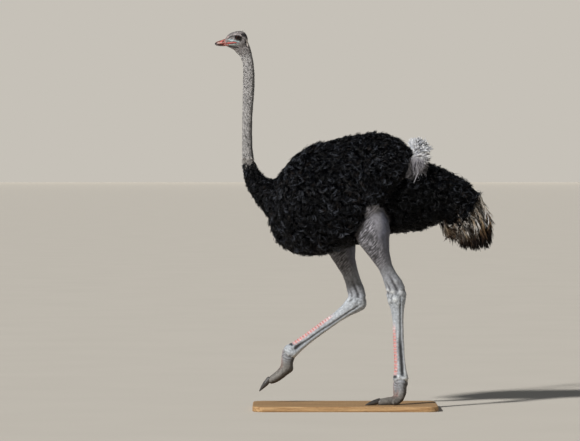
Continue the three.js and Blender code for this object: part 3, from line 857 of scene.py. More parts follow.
for side, sign in SIDES.items():
    bpy.ops.object.select_all(action="DESELECT")
    bpy.ops.mesh.primitive_uv_sphere_add(
        segments=56, ring_count=32, radius=EYE_RADIUS, rotation=(0, math.pi / 2, 0),
        location=(sign * EYE_X, EYE_Y, EYE_Z),
    )
    ball = bpy.context.object
    ball.name = f"eyeball_{side}"
    bpy.ops.object.transform_apply(location=True, rotation=True, scale=True)
    shape = points_of(ball.data)
    off_axis = np.hypot(shape[:, 1] - EYE_Y, shape[:, 2] - EYE_Z)
    front = sign * shape[:, 0] > EYE_X
    shape[:, 0] += sign * CORNEA * front * eased(off_axis, IRIS + 0.001, 0.004)
    move_points(ball.data, shape)
    finished(ball, wet_eye)
    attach(ball, "root")
    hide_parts(f"eye_{side}")


# ------------------------------------------------------------------ bill
# Two sheaths of horn over the jaws: the upper one is broad and flat, with a nail at its tip and a slit
# nostril on each side near its root. The lower one is thin and closes against it.

BILL_VOXEL = 0.0011
BILL_FOLDS = {
    "upper": [
        ([(-88, -21), (-79, -17)], 2.1, -3.6),  # nostril
        ([(-90, -17), (-79, -12)], 1.8, 0.9),  # its upper rim
        ([(-92, -24), (-80, -22)], 1.6, 0.6),  # its lower rim
        ([(-78, -31), (-100, -32), (-120, -34)], 1.3, -0.5),  # groove over the cutting edge
        ([(-119, -22), (-121, -38)], 1.2, -0.5),  # behind the nail
    ],
    "lower": [([(-78, -41), (-104, -42), (-122, -41)], 1.2, -0.4)],
}
BILL_MARKS = {
    "upper": [
        ([(-126, -27), (-108, -19), (-84, -6)], 5.5, "#70483f", 0.75),  # ridge
        ([(-130, -33), (-118, -30)], 8.0, "#4a302c", 0.7),  # towards the nail
        ([(-100, -24), (-86, -13)], 5.5, "#b8534a", 0.8),
        ([(-117, -29), (-98, -30)], 3.0, "#9a7257", 0.6),  # tan side
        ([(-96, -33), (-74, -33)], 3.4, "#b9564c", 0.8),
        # Painted shade inside the nostril slit.
        ([(-89, -21), (-79, -17)], 2.8, "#080404", 1.0),  # nostril
        ([(-133, -34), (-125, -31)], 8.0, "#17131a", 0.95),  # nail
        # Painted shade in the gap between the jaws along the cutting edge.
        ([(-126, -37), (-100, -37), (-74, -37)], 1.8, "#200a08", 0.92),  # cutting edge
    ],
    "lower": [
        ([(-128, -40), (-92, -41)], 6, "#35190f", 0.85),
        ([(-84, -39), (-72, -39)], 4, "#a5564c", 0.7),
    ],
}

# Horn of the bill: satin, with faint growth lines across it and the tone laid on by its marks.
bill_horn, tree = new_material("satin_bill_horn")
tone = add_node(tree, "Attribute", attribute_name="tone")
place = add_node(tree, "TexCoord").outputs["Object"]
growth = add_node(
    tree, "TexWave", {"Vector": place, "Scale": 90.0, "Distortion": 9.0, "Detail": 4.0}, bands_direction="Y"
).outputs["Fac"]
worn = add_node(tree, "MapRange", {"Value": growth, "To Min": 0.97, "To Max": 1.02})
lined = add_node(tree, "Mix", {0: 1.0, 6: tone, 7: worn}, data_type="RGBA", blend_type="MULTIPLY")
bump_lines = add_node(tree, "Bump", {"Strength": 0.06, "Distance": 0.0002, "Height": growth})
shader = add_node(
    tree, "BsdfPrincipled",
    {
        "Base Color": lined, "Roughness": 0.38, "Coat Weight": 0.15, "Coat Roughness": 0.3,
        "Normal": bump_lines,
    },
)
add_node(tree, "OutputMaterial", {"Surface": shader})

for half, base_tone in (("upper", "#85544a"), ("lower", "#5f342c")):
    sheath = copies_joined([f"bill_{half}"], f"bill_horn_{half}")
    apply_modifier(sheath, "REMESH", mode="VOXEL", voxel_size=BILL_VOXEL)
    shape = evened(points_of(sheath.data), edges_of(sheath.data), 8, TAUBIN)
    tucked = eased(shape[:, 1], BILL_ROOT - 0.007, BILL_ROOT - 0.001)[:, None]
    middle = np.array([0, 0, (shape[:, 2].min() + shape[:, 2].max()) / 2])
    shape -= 0.12 * tucked * (shape - middle) * (1, 0, 1)
    move_points(sheath.data, shape)
    side_view = from_eye(shape)[:, 1:] * 1000
    swell = folds_over(side_view, BILL_FOLDS[half], eased(np.abs(shape[:, 0]), 0.003, 0.008))
    move_points(sheath.data, shape + normals_of(sheath.data) * swell[:, None])
    tones = np.tile(linear(base_tone)[:3], (len(shape), 1))
    grain_of_horn = noise_at(shape, 0.005)
    for line, half_width, hex_colour, share in BILL_MARKS[half]:
        away, along = line_distance(side_view, line)
        away = away / (1 - 0.4 * np.abs(2 * along - 1) ** 2) + 0.8 * grain_of_horn
        tones = painted(tones, share * eased(away, half_width * 1.35, half_width * 0.4), hex_colour)
    keep_tones(sheath.data, tones * (1 + 0.12 * grain_of_horn[:, None]))
    finished(sheath, bill_horn)
    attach(sheath, "root")
    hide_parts(f"bill_{half}")


# ------------------------------------------------------------------ claws
# The long toe of each foot ends in a thick blunt claw of dark horn, finely streaked paler all over; the
# real claw is also worn paler where it leaves the skin, which is not drawn.

CLAW_VOXEL = 0.0014

# Horn of the claw: blue-black and satin, with fine ridges along it.
claw_horn, tree = new_material("satin_claw_horn")
place = add_node(tree, "TexCoord").outputs["Object"]
streaks = add_node(tree, "TexNoise", {"Vector": place, "Scale": 240.0, "Detail": 4.0})
tone = add_node(tree, "Mix", {0: streaks, 6: linear("#1d1f26"), 7: linear("#4b463f")}, data_type="RGBA")
bump_streaks = add_node(tree, "Bump", {"Strength": 0.4, "Distance": 0.0005, "Height": streaks})
shader = add_node(tree, "BsdfPrincipled", {"Base Color": tone, "Roughness": 0.36, "Normal": bump_streaks})
add_node(tree, "OutputMaterial", {"Surface": shader})

for side in SIDES:
    claw = copies_joined([f"claw_{side}"], f"claw_horn_{side}")
    apply_modifier(claw, "REMESH", mode="VOXEL", voxel_size=CLAW_VOXEL)
    move_points(claw.data, evened(points_of(claw.data), edges_of(claw.data), 10, TAUBIN))
    finished(claw, claw_horn)
    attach(claw, "root")
    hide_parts(f"claw_{side}")


# ------------------------------------------------------------------ display base
# A flat board of oiled oak with round corners carries the standing foot. Its solid is shown as it is.

# Oiled oak: grain runs the length of the board in bands 12 mm wide, with short dark pores 1.5 mm apart.
BAND_MM, PORE_MM = (12, 260, 12), (1.5, 22, 1.5)
oak, tree = new_material("oiled_oak")
place = add_node(tree, "TexCoord").outputs["Object"]
along_grain = add_node(tree, "Mapping", {"Vector": place, "Scale": [1000 / mm for mm in BAND_MM]})
bands = add_node(tree, "TexNoise", {"Vector": along_grain, "Scale": 1.0, "Detail": 5.0, "Distortion": 0.6})
grain = add_node(tree, "MapRange", {"Value": bands, "From Min": 0.32, "From Max": 0.68})
tone = add_node(tree, "Mix", {0: grain, 6: linear("#8d6a44"), 7: linear("#b6946a")}, data_type="RGBA")
along_pores = add_node(tree, "Mapping", {"Vector": place, "Scale": [1000 / mm for mm in PORE_MM]})
pores = add_node(tree, "TexNoise", {"Vector": along_pores, "Scale": 1.0, "Detail": 2.0})
pore_dark = add_node(tree, "MapRange", {"Value": pores, "From Min": 0.30, "From Max": 0.46, "To Min": 0.62})
wood = add_node(tree, "Mix", {0: 1.0, 6: tone, 7: pore_dark}, data_type="RGBA", blend_type="MULTIPLY")
bump_pores = add_node(tree, "Bump", {"Strength": 0.25, "Distance": 0.0004, "Height": pore_dark})
shader = add_node(
    tree, "BsdfPrincipled",
    {"Base Color": wood, "Roughness": 0.72, "Specular IOR Level": 0.25, "Normal": bump_pores},
)
add_node(tree, "OutputMaterial", {"Surface": shader})
board_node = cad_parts["stand_base"]
board_node.data.materials.clear()
board_node.data.materials.append(oak)


# ------------------------------------------------------------------ black plumage
# Loose curled feathers, black, cover the body, wings, tail and the foot of the neck. Their blue-grey
# lustre is partly the gloss of the keratin and partly painted sheen: the paler tones of some locks and
# clumps. Each is a thin tapered lock that grows out of the skin and bends over, backwards and down.

LOCK_PATCH = 0.003  # how wide each lock's place is on the map of the skin
ROOT_DEPTH = 0.0015

# Places on the skin where locks grow: the points, the normals, their places on the map and the tones.
Roots = namedtuple("Roots", "at normal on_map tone")

skin.data.calc_loop_triangles()
corner = rows_of(skin.data.loop_triangles, "vertices", 3, np.int64)
loop_of = rows_of(skin.data.loop_triangles, "loops", 3, np.int64)
skin_map = rows_of(skin.data.uv_layers["OFBake"].data, "uv", 2)
skin_at, skin_normal = points_of(skin.data), normals_of(skin.data)
triangle = skin_at[corner]
upright = np.cross(triangle[:, 1] - triangle[:, 0], triangle[:, 2] - triangle[:, 0])
triangle_area = np.linalg.norm(upright, axis=1) / 2
triangle_middle = triangle.mean(axis=1)
triangle_zone = zones[corner[:, 0]]


def blended_over(values, corners, share):
    """The values at the corners of triangles, blended by the share of each corner."""
    return (values[corners] * share).sum(axis=1)


def scattered(density, seed):
    """Roots strewn over the skin, with this many to each square metre of each triangle."""
    chance = np.random.default_rng(seed)
    wanted = triangle_area * density
    count = np.floor(wanted + chance.random(len(wanted))).astype(int)
    chosen = np.repeat(np.arange(len(wanted)), count)
    one, two = chance.random((2, len(chosen)))
    over = one + two > 1
    one, two = np.where(over, 1 - one, one), np.where(over, 1 - two, two)
    share = np.stack([1 - one - two, one, two], axis=1)[:, :, None]
    normal = blended_over(skin_normal, corner[chosen], share)
    return Roots(
        blended_over(skin_at, corner[chosen], share),
        normal / np.linalg.norm(normal, axis=1, keepdims=True),
        blended_over(skin_map, loop_of[chosen], share),
        blended_over(skin_tone, corner[chosen], share),
    )


def unit(rows):
    """Rows of vectors, each made one long."""
    return rows / np.maximum(np.linalg.norm(rows, axis=-1, keepdims=True), 1e-9)


def locks_mesh(name, line, aside, width, thick, on_map, tone_root, tone_tip, material):
    """One mesh of tapered three-sided locks. line holds each lock's points from root to tip, aside and
    width how it lies and how wide it is at each point but the tip. thick is a share of the width."""
    count, rings = line.shape[0], line.shape[1] - 1
    along = unit(np.diff(line, axis=1))
    up = unit(np.cross(along, aside))
    half = unit(np.cross(up, along)) * width[:, :, None] / 2
    middle = line[:, :-1]
    ring_points = np.stack([middle - half, middle + half, middle + up * (width * thick)[:, :, None]], axis=2)
    points = np.concatenate([ring_points.reshape(count, rings * 3, 3), line[:, -1:]], axis=1)
    faces = [(0, 2, 1)]
    for low in range(0, rings * 3 - 3, 3):
        for one, two in ((0, 1), (1, 2), (2, 0)):
            faces += [(low + one, low + two, low + 3 + two), (low + one, low + 3 + two, low + 3 + one)]
    last, tip = rings * 3 - 3, rings * 3
    faces += [(last, last + 1, tip), (last + 1, last + 2, tip), (last + 2, last, tip)]
    all_faces = (np.array(faces)[None] + np.arange(count)[:, None, None] * (tip + 1)).reshape(-1, 3)

    mesh = bpy.data.meshes.new(name)
    mesh.vertices.add(count * (tip + 1))
    mesh.vertices.foreach_set("co", points.astype(np.float32).ravel())
    mesh.loops.add(all_faces.size)
    mesh.loops.foreach_set("vertex_index", all_faces.ravel().astype(np.int32))
    mesh.polygons.add(len(all_faces))
    mesh.polygons.foreach_set("loop_start", np.arange(0, all_faces.size, 3, dtype=np.int32))
    mesh.polygons.foreach_set("use_smooth", np.ones(len(all_faces), bool))
    mesh.update(calc_edges=True)

    share = np.append(np.repeat(np.arange(rings) / rings, 3), 1.0)
    across = np.append(np.tile([-0.5, 0.5, 0.0], rings), 0.0)
    places = on_map[:, None] + LOCK_PATCH * np.stack([across, share - 0.5], axis=1)[None]
    layer = mesh.uv_layers.new(name="OFBake")
    layer.data.foreach_set("uv", places.reshape(-1, 2)[all_faces.ravel()].astype(np.float32).ravel())
    # Where a caller gives the roots a darker tone than the tips, that darkening is painted shade deep among
    # the locks.
    blend = (share**1.2)[None, :, None]
    tones = tone_root[:, None] * (1 - blend) + tone_tip[:, None] * blend
    keep_tones(mesh, tones.reshape(-1, 3))
    mesh.materials.append(material)
    piece = bpy.data.objects.new(name, mesh)
    bpy.context.collection.objects.link(piece)
    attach(piece, "root")
    return piece


def along_skin(roots, lie):
    """The directions, laid flat on the skin at the roots."""
    return unit(lie - roots.normal * (lie * roots.normal).sum(axis=1, keepdims=True))


def grown_lines(roots, lie, length, rise, droop, curl, rings):
    """The points and the sideways directions of locks that leave the skin at the angle rise, end at the
    angle droop, and turn sideways by curl on the way."""
    lie = along_skin(roots, lie)
    beside = np.cross(roots.normal, lie)
    line = [roots.at - ROOT_DEPTH * roots.normal]
    asides = []
    for ring in range(rings):
        share = (ring + 0.5) / rings
        heading = (curl * share**1.5)[:, None]
        climb = (rise + (droop - rise) * share**0.8)[:, None]
        flat = np.cos(heading) * lie + np.sin(heading) * beside
        ahead = np.cos(climb) * flat + np.sin(climb) * roots.normal
        line.append(line[-1] + (length / rings)[:, None] * ahead)
        asides.append(np.cos(heading) * beside - np.sin(heading) * lie)
    return np.stack(line, axis=1), np.stack(asides, axis=1)


def turned_about(vectors, axes, angles):
    """Each vector turned about its own axis, which stands at right angles to it."""
    angles = angles[:, None]
    return vectors * np.cos(angles) + np.cross(axes, vectors) * np.sin(angles)


def lie_of_feathers(points):
    """Which way the feathers lie: down the neck and breast, back along the body, down at the tail."""
    side = np.sign(points[:, 0]) * eased(np.abs(points[:, 0]), 0.0, 0.08)
    lie = np.stack([0.15 * side, np.full(len(points), 1.0), np.full(len(points), -0.55)], axis=1)
    breast = eased(points[:, 1], -0.10, -0.42)[:, None]
    lie = lie * (1 - breast) + np.array([0, 0.22, -1.0]) * breast
    tail = eased(points[:, 1], 0.38, 0.68)[:, None]
    return lie * (1 - tail) + np.array([0, 0.62, -0.85]) * tail


# Feather keratin: a low soft gloss, and on the down and the white plumes the pale bloom of fine barbs.
def feather_material(name, roughness, gloss, sheen, sheen_tint):
    """A soft feather finish that takes its colour from the lock."""
    made, tree = new_material(name)
    tone = add_node(tree, "Attribute", attribute_name="tone")
    shader = add_node(
        tree, "BsdfPrincipled",
        {
            "Base Color": tone, "Roughness": roughness, "Specular IOR Level": gloss,
            "Sheen Weight": sheen, "Sheen Roughness": 0.4, "Sheen Tint": linear(sheen_tint),
        },
    )
    add_node(tree, "OutputMaterial", {"Surface": shader})
    return made


black_feather = feather_material("black_feather_keratin", 0.34, 0.16, 0.0, "#9fb0d0")
LOCK_WIDTHS = np.array([0.6, 1.0, 0.8])
LOCK_THICKNESS = 0.34
LOCK_TRIANGLES = 16
MOST_IN_PIECE = 190000


def shades(count, chance, choices):
    """A colour for each lock, drawn from hex colours with their shares."""
    colours = np.array([linear(c)[:3] for c, share in choices])
    shares = np.array([share for c, share in choices])
    return colours[chance.choice(len(choices), size=count, p=shares / shares.sum())]


def clumps_of(roots, here, spacing, seed):
    """Which clump each root belongs to, how many there are, and the way to its middle in spacings."""
    middles = scattered(here / spacing**2, seed).at
    tree = KDTree(len(middles))
    for number, middle in enumerate(middles.tolist()):
        tree.insert(middle, number)
    tree.balance()
    clump = np.array([tree.find(p)[1] for p in roots.at.tolist()])
    return clump, len(middles), (middles[clump] - roots.at) / spacing


# Where no black lock may lie: over the white plumes behind the wings, over the bare thighs, and past
# the slanting end of the tail, given by a place on it (back, up) and the way it faces.
PLUMES_FROM_Y, WING_FROM_X = 0.372, 0.055
THIGH_CLEARANCE, THIGH_FOOT = 0.035, 0.9
TAIL_END = (0.724, 1.160, 0.66, -0.75)
thighs = solid_tree(["shin_left", "shin_right"])[0]


def clear_of_plumes_and_thighs(roots, tips, chance):
    """True for the locks that leave the white plumes, the bare thighs and the brush of the tail free."""
    aside, back, up = np.abs(tips[:, 0]), tips[:, 1], tips[:, 2]
    edge = PLUMES_FROM_Y - 0.036 * eased(up, 1.43, 1.33) + chance.normal(0, 0.004, len(tips))
    on_plumes = (up > 1.315) & (up < 1.60) & (back > edge) & (back < 0.50) & (aside > WING_FROM_X)
    over_wing = (roots.at[:, 1] < 0.40) & (np.abs(roots.at[:, 0]) > WING_FROM_X)
    near = np.array([thighs.find_nearest(p)[3] for p in tips.tolist()])
    on_thigh = (near < THIGH_CLEARANCE) & (up > THIGH_FOOT)
    wander = chance.normal(0, 1, len(tips))
    for places in (tips, roots.at, (tips + roots.at) / 2):
        on_thigh |= on_bare_thigh(places, wander) > 0.5
    past_tail = (back - TAIL_END[0]) * TAIL_END[2] + (up - TAIL_END[1]) * TAIL_END[3]
    in_brush = past_tail > 0.004 + chance.normal(0, 0.010, len(tips))
    return ~(on_plumes & over_wing | on_thigh | in_brush)


# Tones of the black locks: near black, a little brown, and paler blue-grey ones that are painted sheen.
BLACK_TONES_AND_SHEEN = [
    ("#020203", 0.56), ("#090a0d", 0.18), ("#20232a", 0.14), ("#62666f", 0.09), ("#332c28", 0.04),
]
# Each coat by its name, its part of the bird, and the spacing, the lengths and the width of its locks.
BODY_COATS = [
    ("neck_foot", "neck_base", 0.0050, (0.022, 0.038), 0.0031),
    ("body", "trunk", 0.0061, (0.036, 0.058), 0.0039),
    ("wing_left", "wing_left", 0.0060, (0.036, 0.056), 0.0038),
    ("wing_right", "wing_right", 0.0060, (0.036, 0.056), 0.0038),
    ("tail", "tail", 0.0060, (0.044, 0.068), 0.0040),
]
CLUMP_SPACINGS, LIKE_ITS_CLUMP = 3.0, 0.45
for seed, (coat, part, spacing, lengths, widest) in enumerate(BODY_COATS):
    chance = np.random.default_rng(100 + seed)
    here = in_zone(triangle_zone, part)
    roots = scattered(here / spacing**2, 200 + seed)
    clump, clumps, inwards = clumps_of(roots, here, CLUMP_SPACINGS * spacing, 300 + seed)
    count = len(roots.at)
    swirl = 0.8 * noise_at(roots.at, 0.09) + chance.normal(0, 0.48, clumps)[clump]
    swirl += chance.normal(0, 0.12, count)
    lie = along_skin(roots, lie_of_feathers(roots.at))
    lie = turned_about(lie, roots.normal, swirl) + 0.42 * inwards
    length = chance.uniform(*lengths, count) * chance.uniform(0.85, 1.15, clumps)[clump]
    rise = np.radians(chance.uniform(22, 64, clumps)[clump] + chance.normal(0, 7, count))
    droop = np.radians(chance.uniform(-42, -4, clumps)[clump] + chance.normal(0, 8, count))
    curl = (chance.choice([-1.0, 1.0], clumps) * chance.uniform(0.8, 3.0, clumps))[clump]
    curl += chance.normal(0, 0.3, count)
    line, aside = grown_lines(roots, lie, length, rise, droop, curl, len(LOCK_WIDTHS))
    width = widest * chance.uniform(0.7, 1.3, count)[:, None] * LOCK_WIDTHS
    tip = shades(count, chance, BLACK_TONES_AND_SHEEN)
    # Many locks take their clump's tone, so the paler tones, painted sheen, fall on whole curls.
    clump_tone_and_sheen = shades(clumps, chance, BLACK_TONES_AND_SHEEN)[clump]
    tip = np.where(chance.random(count)[:, None] < LIKE_ITS_CLUMP, clump_tone_and_sheen, tip)
    back, up = roots.at[:, 1], roots.at[:, 2]
    # Painted shade on the locks under the folded wing and behind the thigh, where no light reaches.
    under_wing_shade = eased(back, 0.18, 0.30) * eased(up, 1.36, 1.24) * eased(back, 0.70, 0.56)
    tip *= 1 - 0.85 * under_wing_shade[:, None]
    # Black at the root: painted shade deep in the coat.
    root_tone = np.tile(linear("#020203")[:3], (count, 1))
    order = np.flatnonzero(clear_of_plumes_and_thighs(roots, line[:, -1], chance))
    order = order[np.argsort(back[order], kind="stable")]
    parts = math.ceil(len(order) * LOCK_TRIANGLES / MOST_IN_PIECE)
    for number, chosen in enumerate(np.array_split(order, parts)):
        name = f"plumage_{coat}" + (f"_{number + 1}" if parts > 1 else "")
        piece = locks_mesh(
            name, line[chosen], aside[chosen], width[chosen], LOCK_THICKNESS,
            roots.on_map[chosen], root_tone[chosen], tip[chosen], black_feather,
        )


# ------------------------------------------------------------------ down of the neck
# Short greyish down covers the long bare neck from the back of the head to the plumage. It is thin
# enough for gaps to show between its tufts, and the tufts at the edge of each clump are darkened as
# painted shade between the clumps. The nape is darkest, with darker down and painted shade on the side
# away from the light, and the down ends in a pale fringe.

DOWN_SPACING, DOWN_CLUMP = 0.0023, 0.0085
DOWN_SHADES = [("#e8e4e1", 0.48), ("#cfcbc8", 0.34), ("#f8f4f0", 0.10), ("#7d7975", 0.08)]
TWO_RINGS, THREE_RINGS = np.array([0.9, 1.0]), np.array([0.7, 1.0, 0.65])


def short_coat(roots, lie, chance, lengths, rises, droops, curls, widest, profile, shorter=1.0):
    """The lines, sideways directions and widths of short locks. lengths in metres, and rises and droops
    in degrees, are from and to, curls is how much they vary, and profile the widths from root to tip."""
    count = len(roots.at)
    length = chance.uniform(*lengths, count) * shorter
    rise = np.radians(chance.uniform(*rises, count))
    droop = np.radians(chance.uniform(*droops, count))
    line, aside = grown_lines(roots, lie, length, rise, droop, chance.normal(0, curls, count), len(profile))
    return line, aside, widest * chance.uniform(0.7, 1.3, count)[:, None] * profile


soft_down = feather_material("grey_down", 0.6, 0.3, 0.1, "#ffffff")
chance = np.random.default_rng(21)
on_neck = in_zone(triangle_zone, "neck_upper", "neck_lower")
below_eye = EYE_Z - triangle_middle[:, 2] + 0.35 * (triangle_middle[:, 1] - EYE_Y)
downy = on_neck + in_zone(triangle_zone, "head") * eased(below_eye, 0.040, 0.085)
roots = scattered(downy / DOWN_SPACING**2, 22)
clump, clumps, inwards = clumps_of(roots, downy > 0, DOWN_CLUMP, 25)
count = len(roots.at)
turn = chance.normal(0, 0.45, clumps)[clump] + chance.normal(0, 0.15, count)
lie = turned_about(along_skin(roots, np.array([0.0, 0.25, -1.0])), roots.normal, turn) + 0.55 * inwards
line, aside, width = short_coat(
    roots, lie, chance, (0.010, 0.015), (22, 46), (-20, 4), 0.7, 0.0008, TWO_RINGS,
    1 - 0.45 * eased(roots.at[:, 2], 2.02, 2.09),
)
tip = shades(count, chance, DOWN_SHADES)
# Painted shade between the clumps: the tufts at the edge of each are darkened.
clump_edge_shade = eased(np.linalg.norm(inwards, axis=1) + chance.normal(0, 0.08, count), 0.38, 0.58)
tip = painted(tip, 0.85 * clump_edge_shade, "#343335")
# Darker down the nape: its own darker down and painted shade on the side that faces away from the light.
nape_dark_and_shade = eased(roots.normal[:, 1] + chance.normal(0, 0.07, count), 0.60, 0.85)
tip = painted(tip, 0.92 * nape_dark_and_shade, "#1d1b22")
for number, chosen in enumerate(np.array_split(np.argsort(roots.at[:, 2], kind="stable"), 2)):
    piece = locks_mesh(
        f"neck_down_{number + 1}", line[chosen], aside[chosen], width[chosen], 0.4,
        roots.on_map[chosen], tip[chosen] * 0.8, tip[chosen], soft_down,
    )

# The fringe is of longer, paler tufts, in a band round the front of the neck over the black plumage.
FRINGE_TOP, FRINGE_FOOT, FRINGE_SPACING = 1.452, 1.398, 0.0042
FRINGE_SHADES = [("#e4dfd8", 0.55), ("#a8a19b", 0.25), ("#4a4440", 0.20)]
chance = np.random.default_rng(23)
band = (triangle_middle[:, 2] < FRINGE_TOP) & (triangle_middle[:, 2] > FRINGE_FOOT)
band &= triangle_middle[:, 1] < -0.48
roots = scattered(band / FRINGE_SPACING**2, 24)
count = len(roots.at)
line, aside, width = short_coat(
    roots, np.array([0.0, 0.12, -1.0]), chance, (0.014, 0.024), (24, 44), (-10, 8), 0.5, 0.0026, THREE_RINGS
)
tip = shades(count, chance, FRINGE_SHADES)
sunk = eased(roots.at[:, 2] + chance.normal(0, 0.010, count), FRINGE_FOOT + 0.026, FRINGE_FOOT + 0.004)
tip = painted(tip, sunk, "#2a211e")
piece = locks_mesh("neck_fringe", line, aside, width, 0.35, roots.on_map, tip * 0.4, tip, soft_down)


# ------------------------------------------------------------------ bristles of the head
# The head is nearly bare. Fine stiff bristles cover the crown and the cheeks, none grow on the lids,
# the lips or the bill, and a few white hairs stand up from the crown.

BRISTLE_SPACING, HAIRS_TO_SQUARE_METRE = 0.0019, 11000.0
BRISTLE_SHADES = [("#a39a96", 0.40), ("#6f6765", 0.30), ("#2b2727", 0.30)]
chance = np.random.default_rng(31)
seen = from_eye(triangle_middle) * 1000
aside_mm, back_mm, up_mm = seen.T
of_head = in_zone(triangle_zone, "head")
crown = eased(up_mm, 14, 30)
cheek = 0.45 * eased(up_mm, 20, -20)
behind = 0.8 * eased(back_mm, 22, 34)
growth = np.maximum(np.maximum(crown, cheek), behind) * eased(back_mm, -62, -44)
lips = np.abs(up_mm + 33) < 9
growth *= ~(lips & (back_mm < 0) & (aside_mm > -24))
growth *= eased(np.linalg.norm(seen, axis=1), 25, 33)
roots = scattered(of_head * growth / BRISTLE_SPACING**2, 32)
count = len(roots.at)
lie = along_skin(roots, np.array([0.0, 1.0, -0.25]) + 0.35 * np.sign(roots.at[:, :1]) * [1, 0, 0])
lie = turned_about(lie, roots.normal, 0.7 * noise_at(roots.at, 0.014) + chance.normal(0, 0.3, count))
line, aside, width = short_coat(
    roots, lie, chance, (0.0038, 0.0068), (12, 38), (-8, 12), 0.5, 0.00055, TWO_RINGS
)
tip = roots.tone * 0.4 + 0.6 * shades(count, chance, BRISTLE_SHADES)
piece = locks_mesh("head_bristles", line, aside, width, 0.5, roots.on_map, tip * 0.5, tip, soft_down)

chance = np.random.default_rng(33)
hair = of_head * eased(up_mm, 26, 38) * eased(back_mm, -18, 6)
roots = scattered(hair * HAIRS_TO_SQUARE_METRE, 34)
count = len(roots.at)
lie = np.array([0.0, 1.0, 0.1]) + chance.normal(0, 0.5, (count, 3))
line, aside, width = short_coat(
    roots, lie, chance, (0.012, 0.022), (45, 75), (10, 50), 0.6, 0.0007, THREE_RINGS
)
tip = shades(count, chance, [("#d8d2cc", 0.7), ("#8a8480", 0.3)])
piece = locks_mesh("crown_hairs", line, aside, width, 0.6, roots.on_map, tip, tip, soft_down)


# ------------------------------------------------------------------ eyelashes
# Each upper lid carries a row of long black lashes that curve out and up, the lower lid short ones.
# They are really bristle feathers, set in the rounded margin of the lid.

# Each row by its first and last place round the lid in degrees, how many, their lengths and their lift.
LASHES = [(-160, -20, 58, (0.006, 0.0095), 0.25), (25, 150, 34, (0.003, 0.0045), -0.4)]
LASH_WIDTHS = 0.00045 * np.array([1.0, 0.85, 0.6])
LID_MARGIN = 0.0019

skin_tree = BVHTree.FromPolygons(skin_at.tolist(), corner.tolist())


def map_near(points):
    """The places on the map of the skin that lie nearest to these points."""
    at, normal, face, away = zip(*(skin_tree.find_nearest(p) for p in points.tolist()))
    at, face = np.array(at), np.array(face)
    a, b, c = (skin_at[corner[face, i]] for i in range(3))
    whole = np.cross(b - a, c - a)
    area = (whole * whole).sum(axis=1)
    second = (np.cross(at - a, c - a) * whole).sum(axis=1) / area
    third = (np.cross(b - a, at - a) * whole).sum(axis=1) / area
    share = np.clip(np.stack([1 - second - third, second, third], axis=1), 0, 1)[:, :, None]
    return blended_over(skin_map, loop_of[face], share)


chance = np.random.default_rng(41)
lines, asides = [], []
for first, last, count, lengths, lifted in LASHES:
    for sign in SIDES.values():
        angle = np.radians(np.linspace(first, last, count) + chance.normal(0, 1, count))
        turn = LID_HALF_WIDTH * 1.04 * np.cos(angle)
        lift = -LID_HALF_HEIGHT * 1.10 * np.sin(angle) - LID_SLANT * turn
        out = np.column_stack([sign * np.cos(turn) * np.cos(lift), np.sin(turn) * np.cos(lift), np.sin(lift)])
        line = [EYE * (sign, 1, 1) + out * (EYE_RADIUS + LID_MARGIN)]
        length = chance.uniform(*lengths, count)[:, None]
        heading = unit(out + np.column_stack([0 * turn, 0.9 * np.sin(turn), np.full(count, lifted)]))
        heading = unit(heading + chance.normal(0, 0.07, (count, 3)))
        for step in range(3):
            line.append(line[-1] + heading * length / 3)
            heading = unit(heading + np.array([0, 0.05, 0.30 * lifted]))
        lines.append(np.stack(line, axis=1))
        asides.append(unit(np.cross(np.diff(lines[-1], axis=1), out[:, None])))
line, aside = np.concatenate(lines), np.concatenate(asides)
width = np.tile(LASH_WIDTHS, (len(line), 1))
black = np.tile(linear("#0c0a0b")[:3], (len(line), 1))
piece = locks_mesh("eyelashes", line, aside, width, 0.9, map_near(line[:, 0]), black, black, black_feather)


# ------------------------------------------------------------------ white wing plumes
# Each folded wing ends in a spray of soft white plumes. The upper ones stand up and back and curl, and
# the lower ones hang down behind the wing. Each is a thin shaft with loose barbs along both edges.

SHAFT_RINGS, BARB_RINGS = 7, 4
NEAR_SKIN = 0.05
BARB_WIDTHS = np.array([0.7, 1.0, 0.9, 0.6])


def shaft_lines(start, bend, end, steps):
    """Smooth middle lines of shafts from start to end, drawn towards bend on the way."""
    share = np.linspace(0, 1, steps + 1)[None, :, None]
    start, bend, end = start[:, None], bend[:, None], end[:, None]
    return (1 - share) ** 2 * start + 2 * share * (1 - share) * bend + share**2 * end


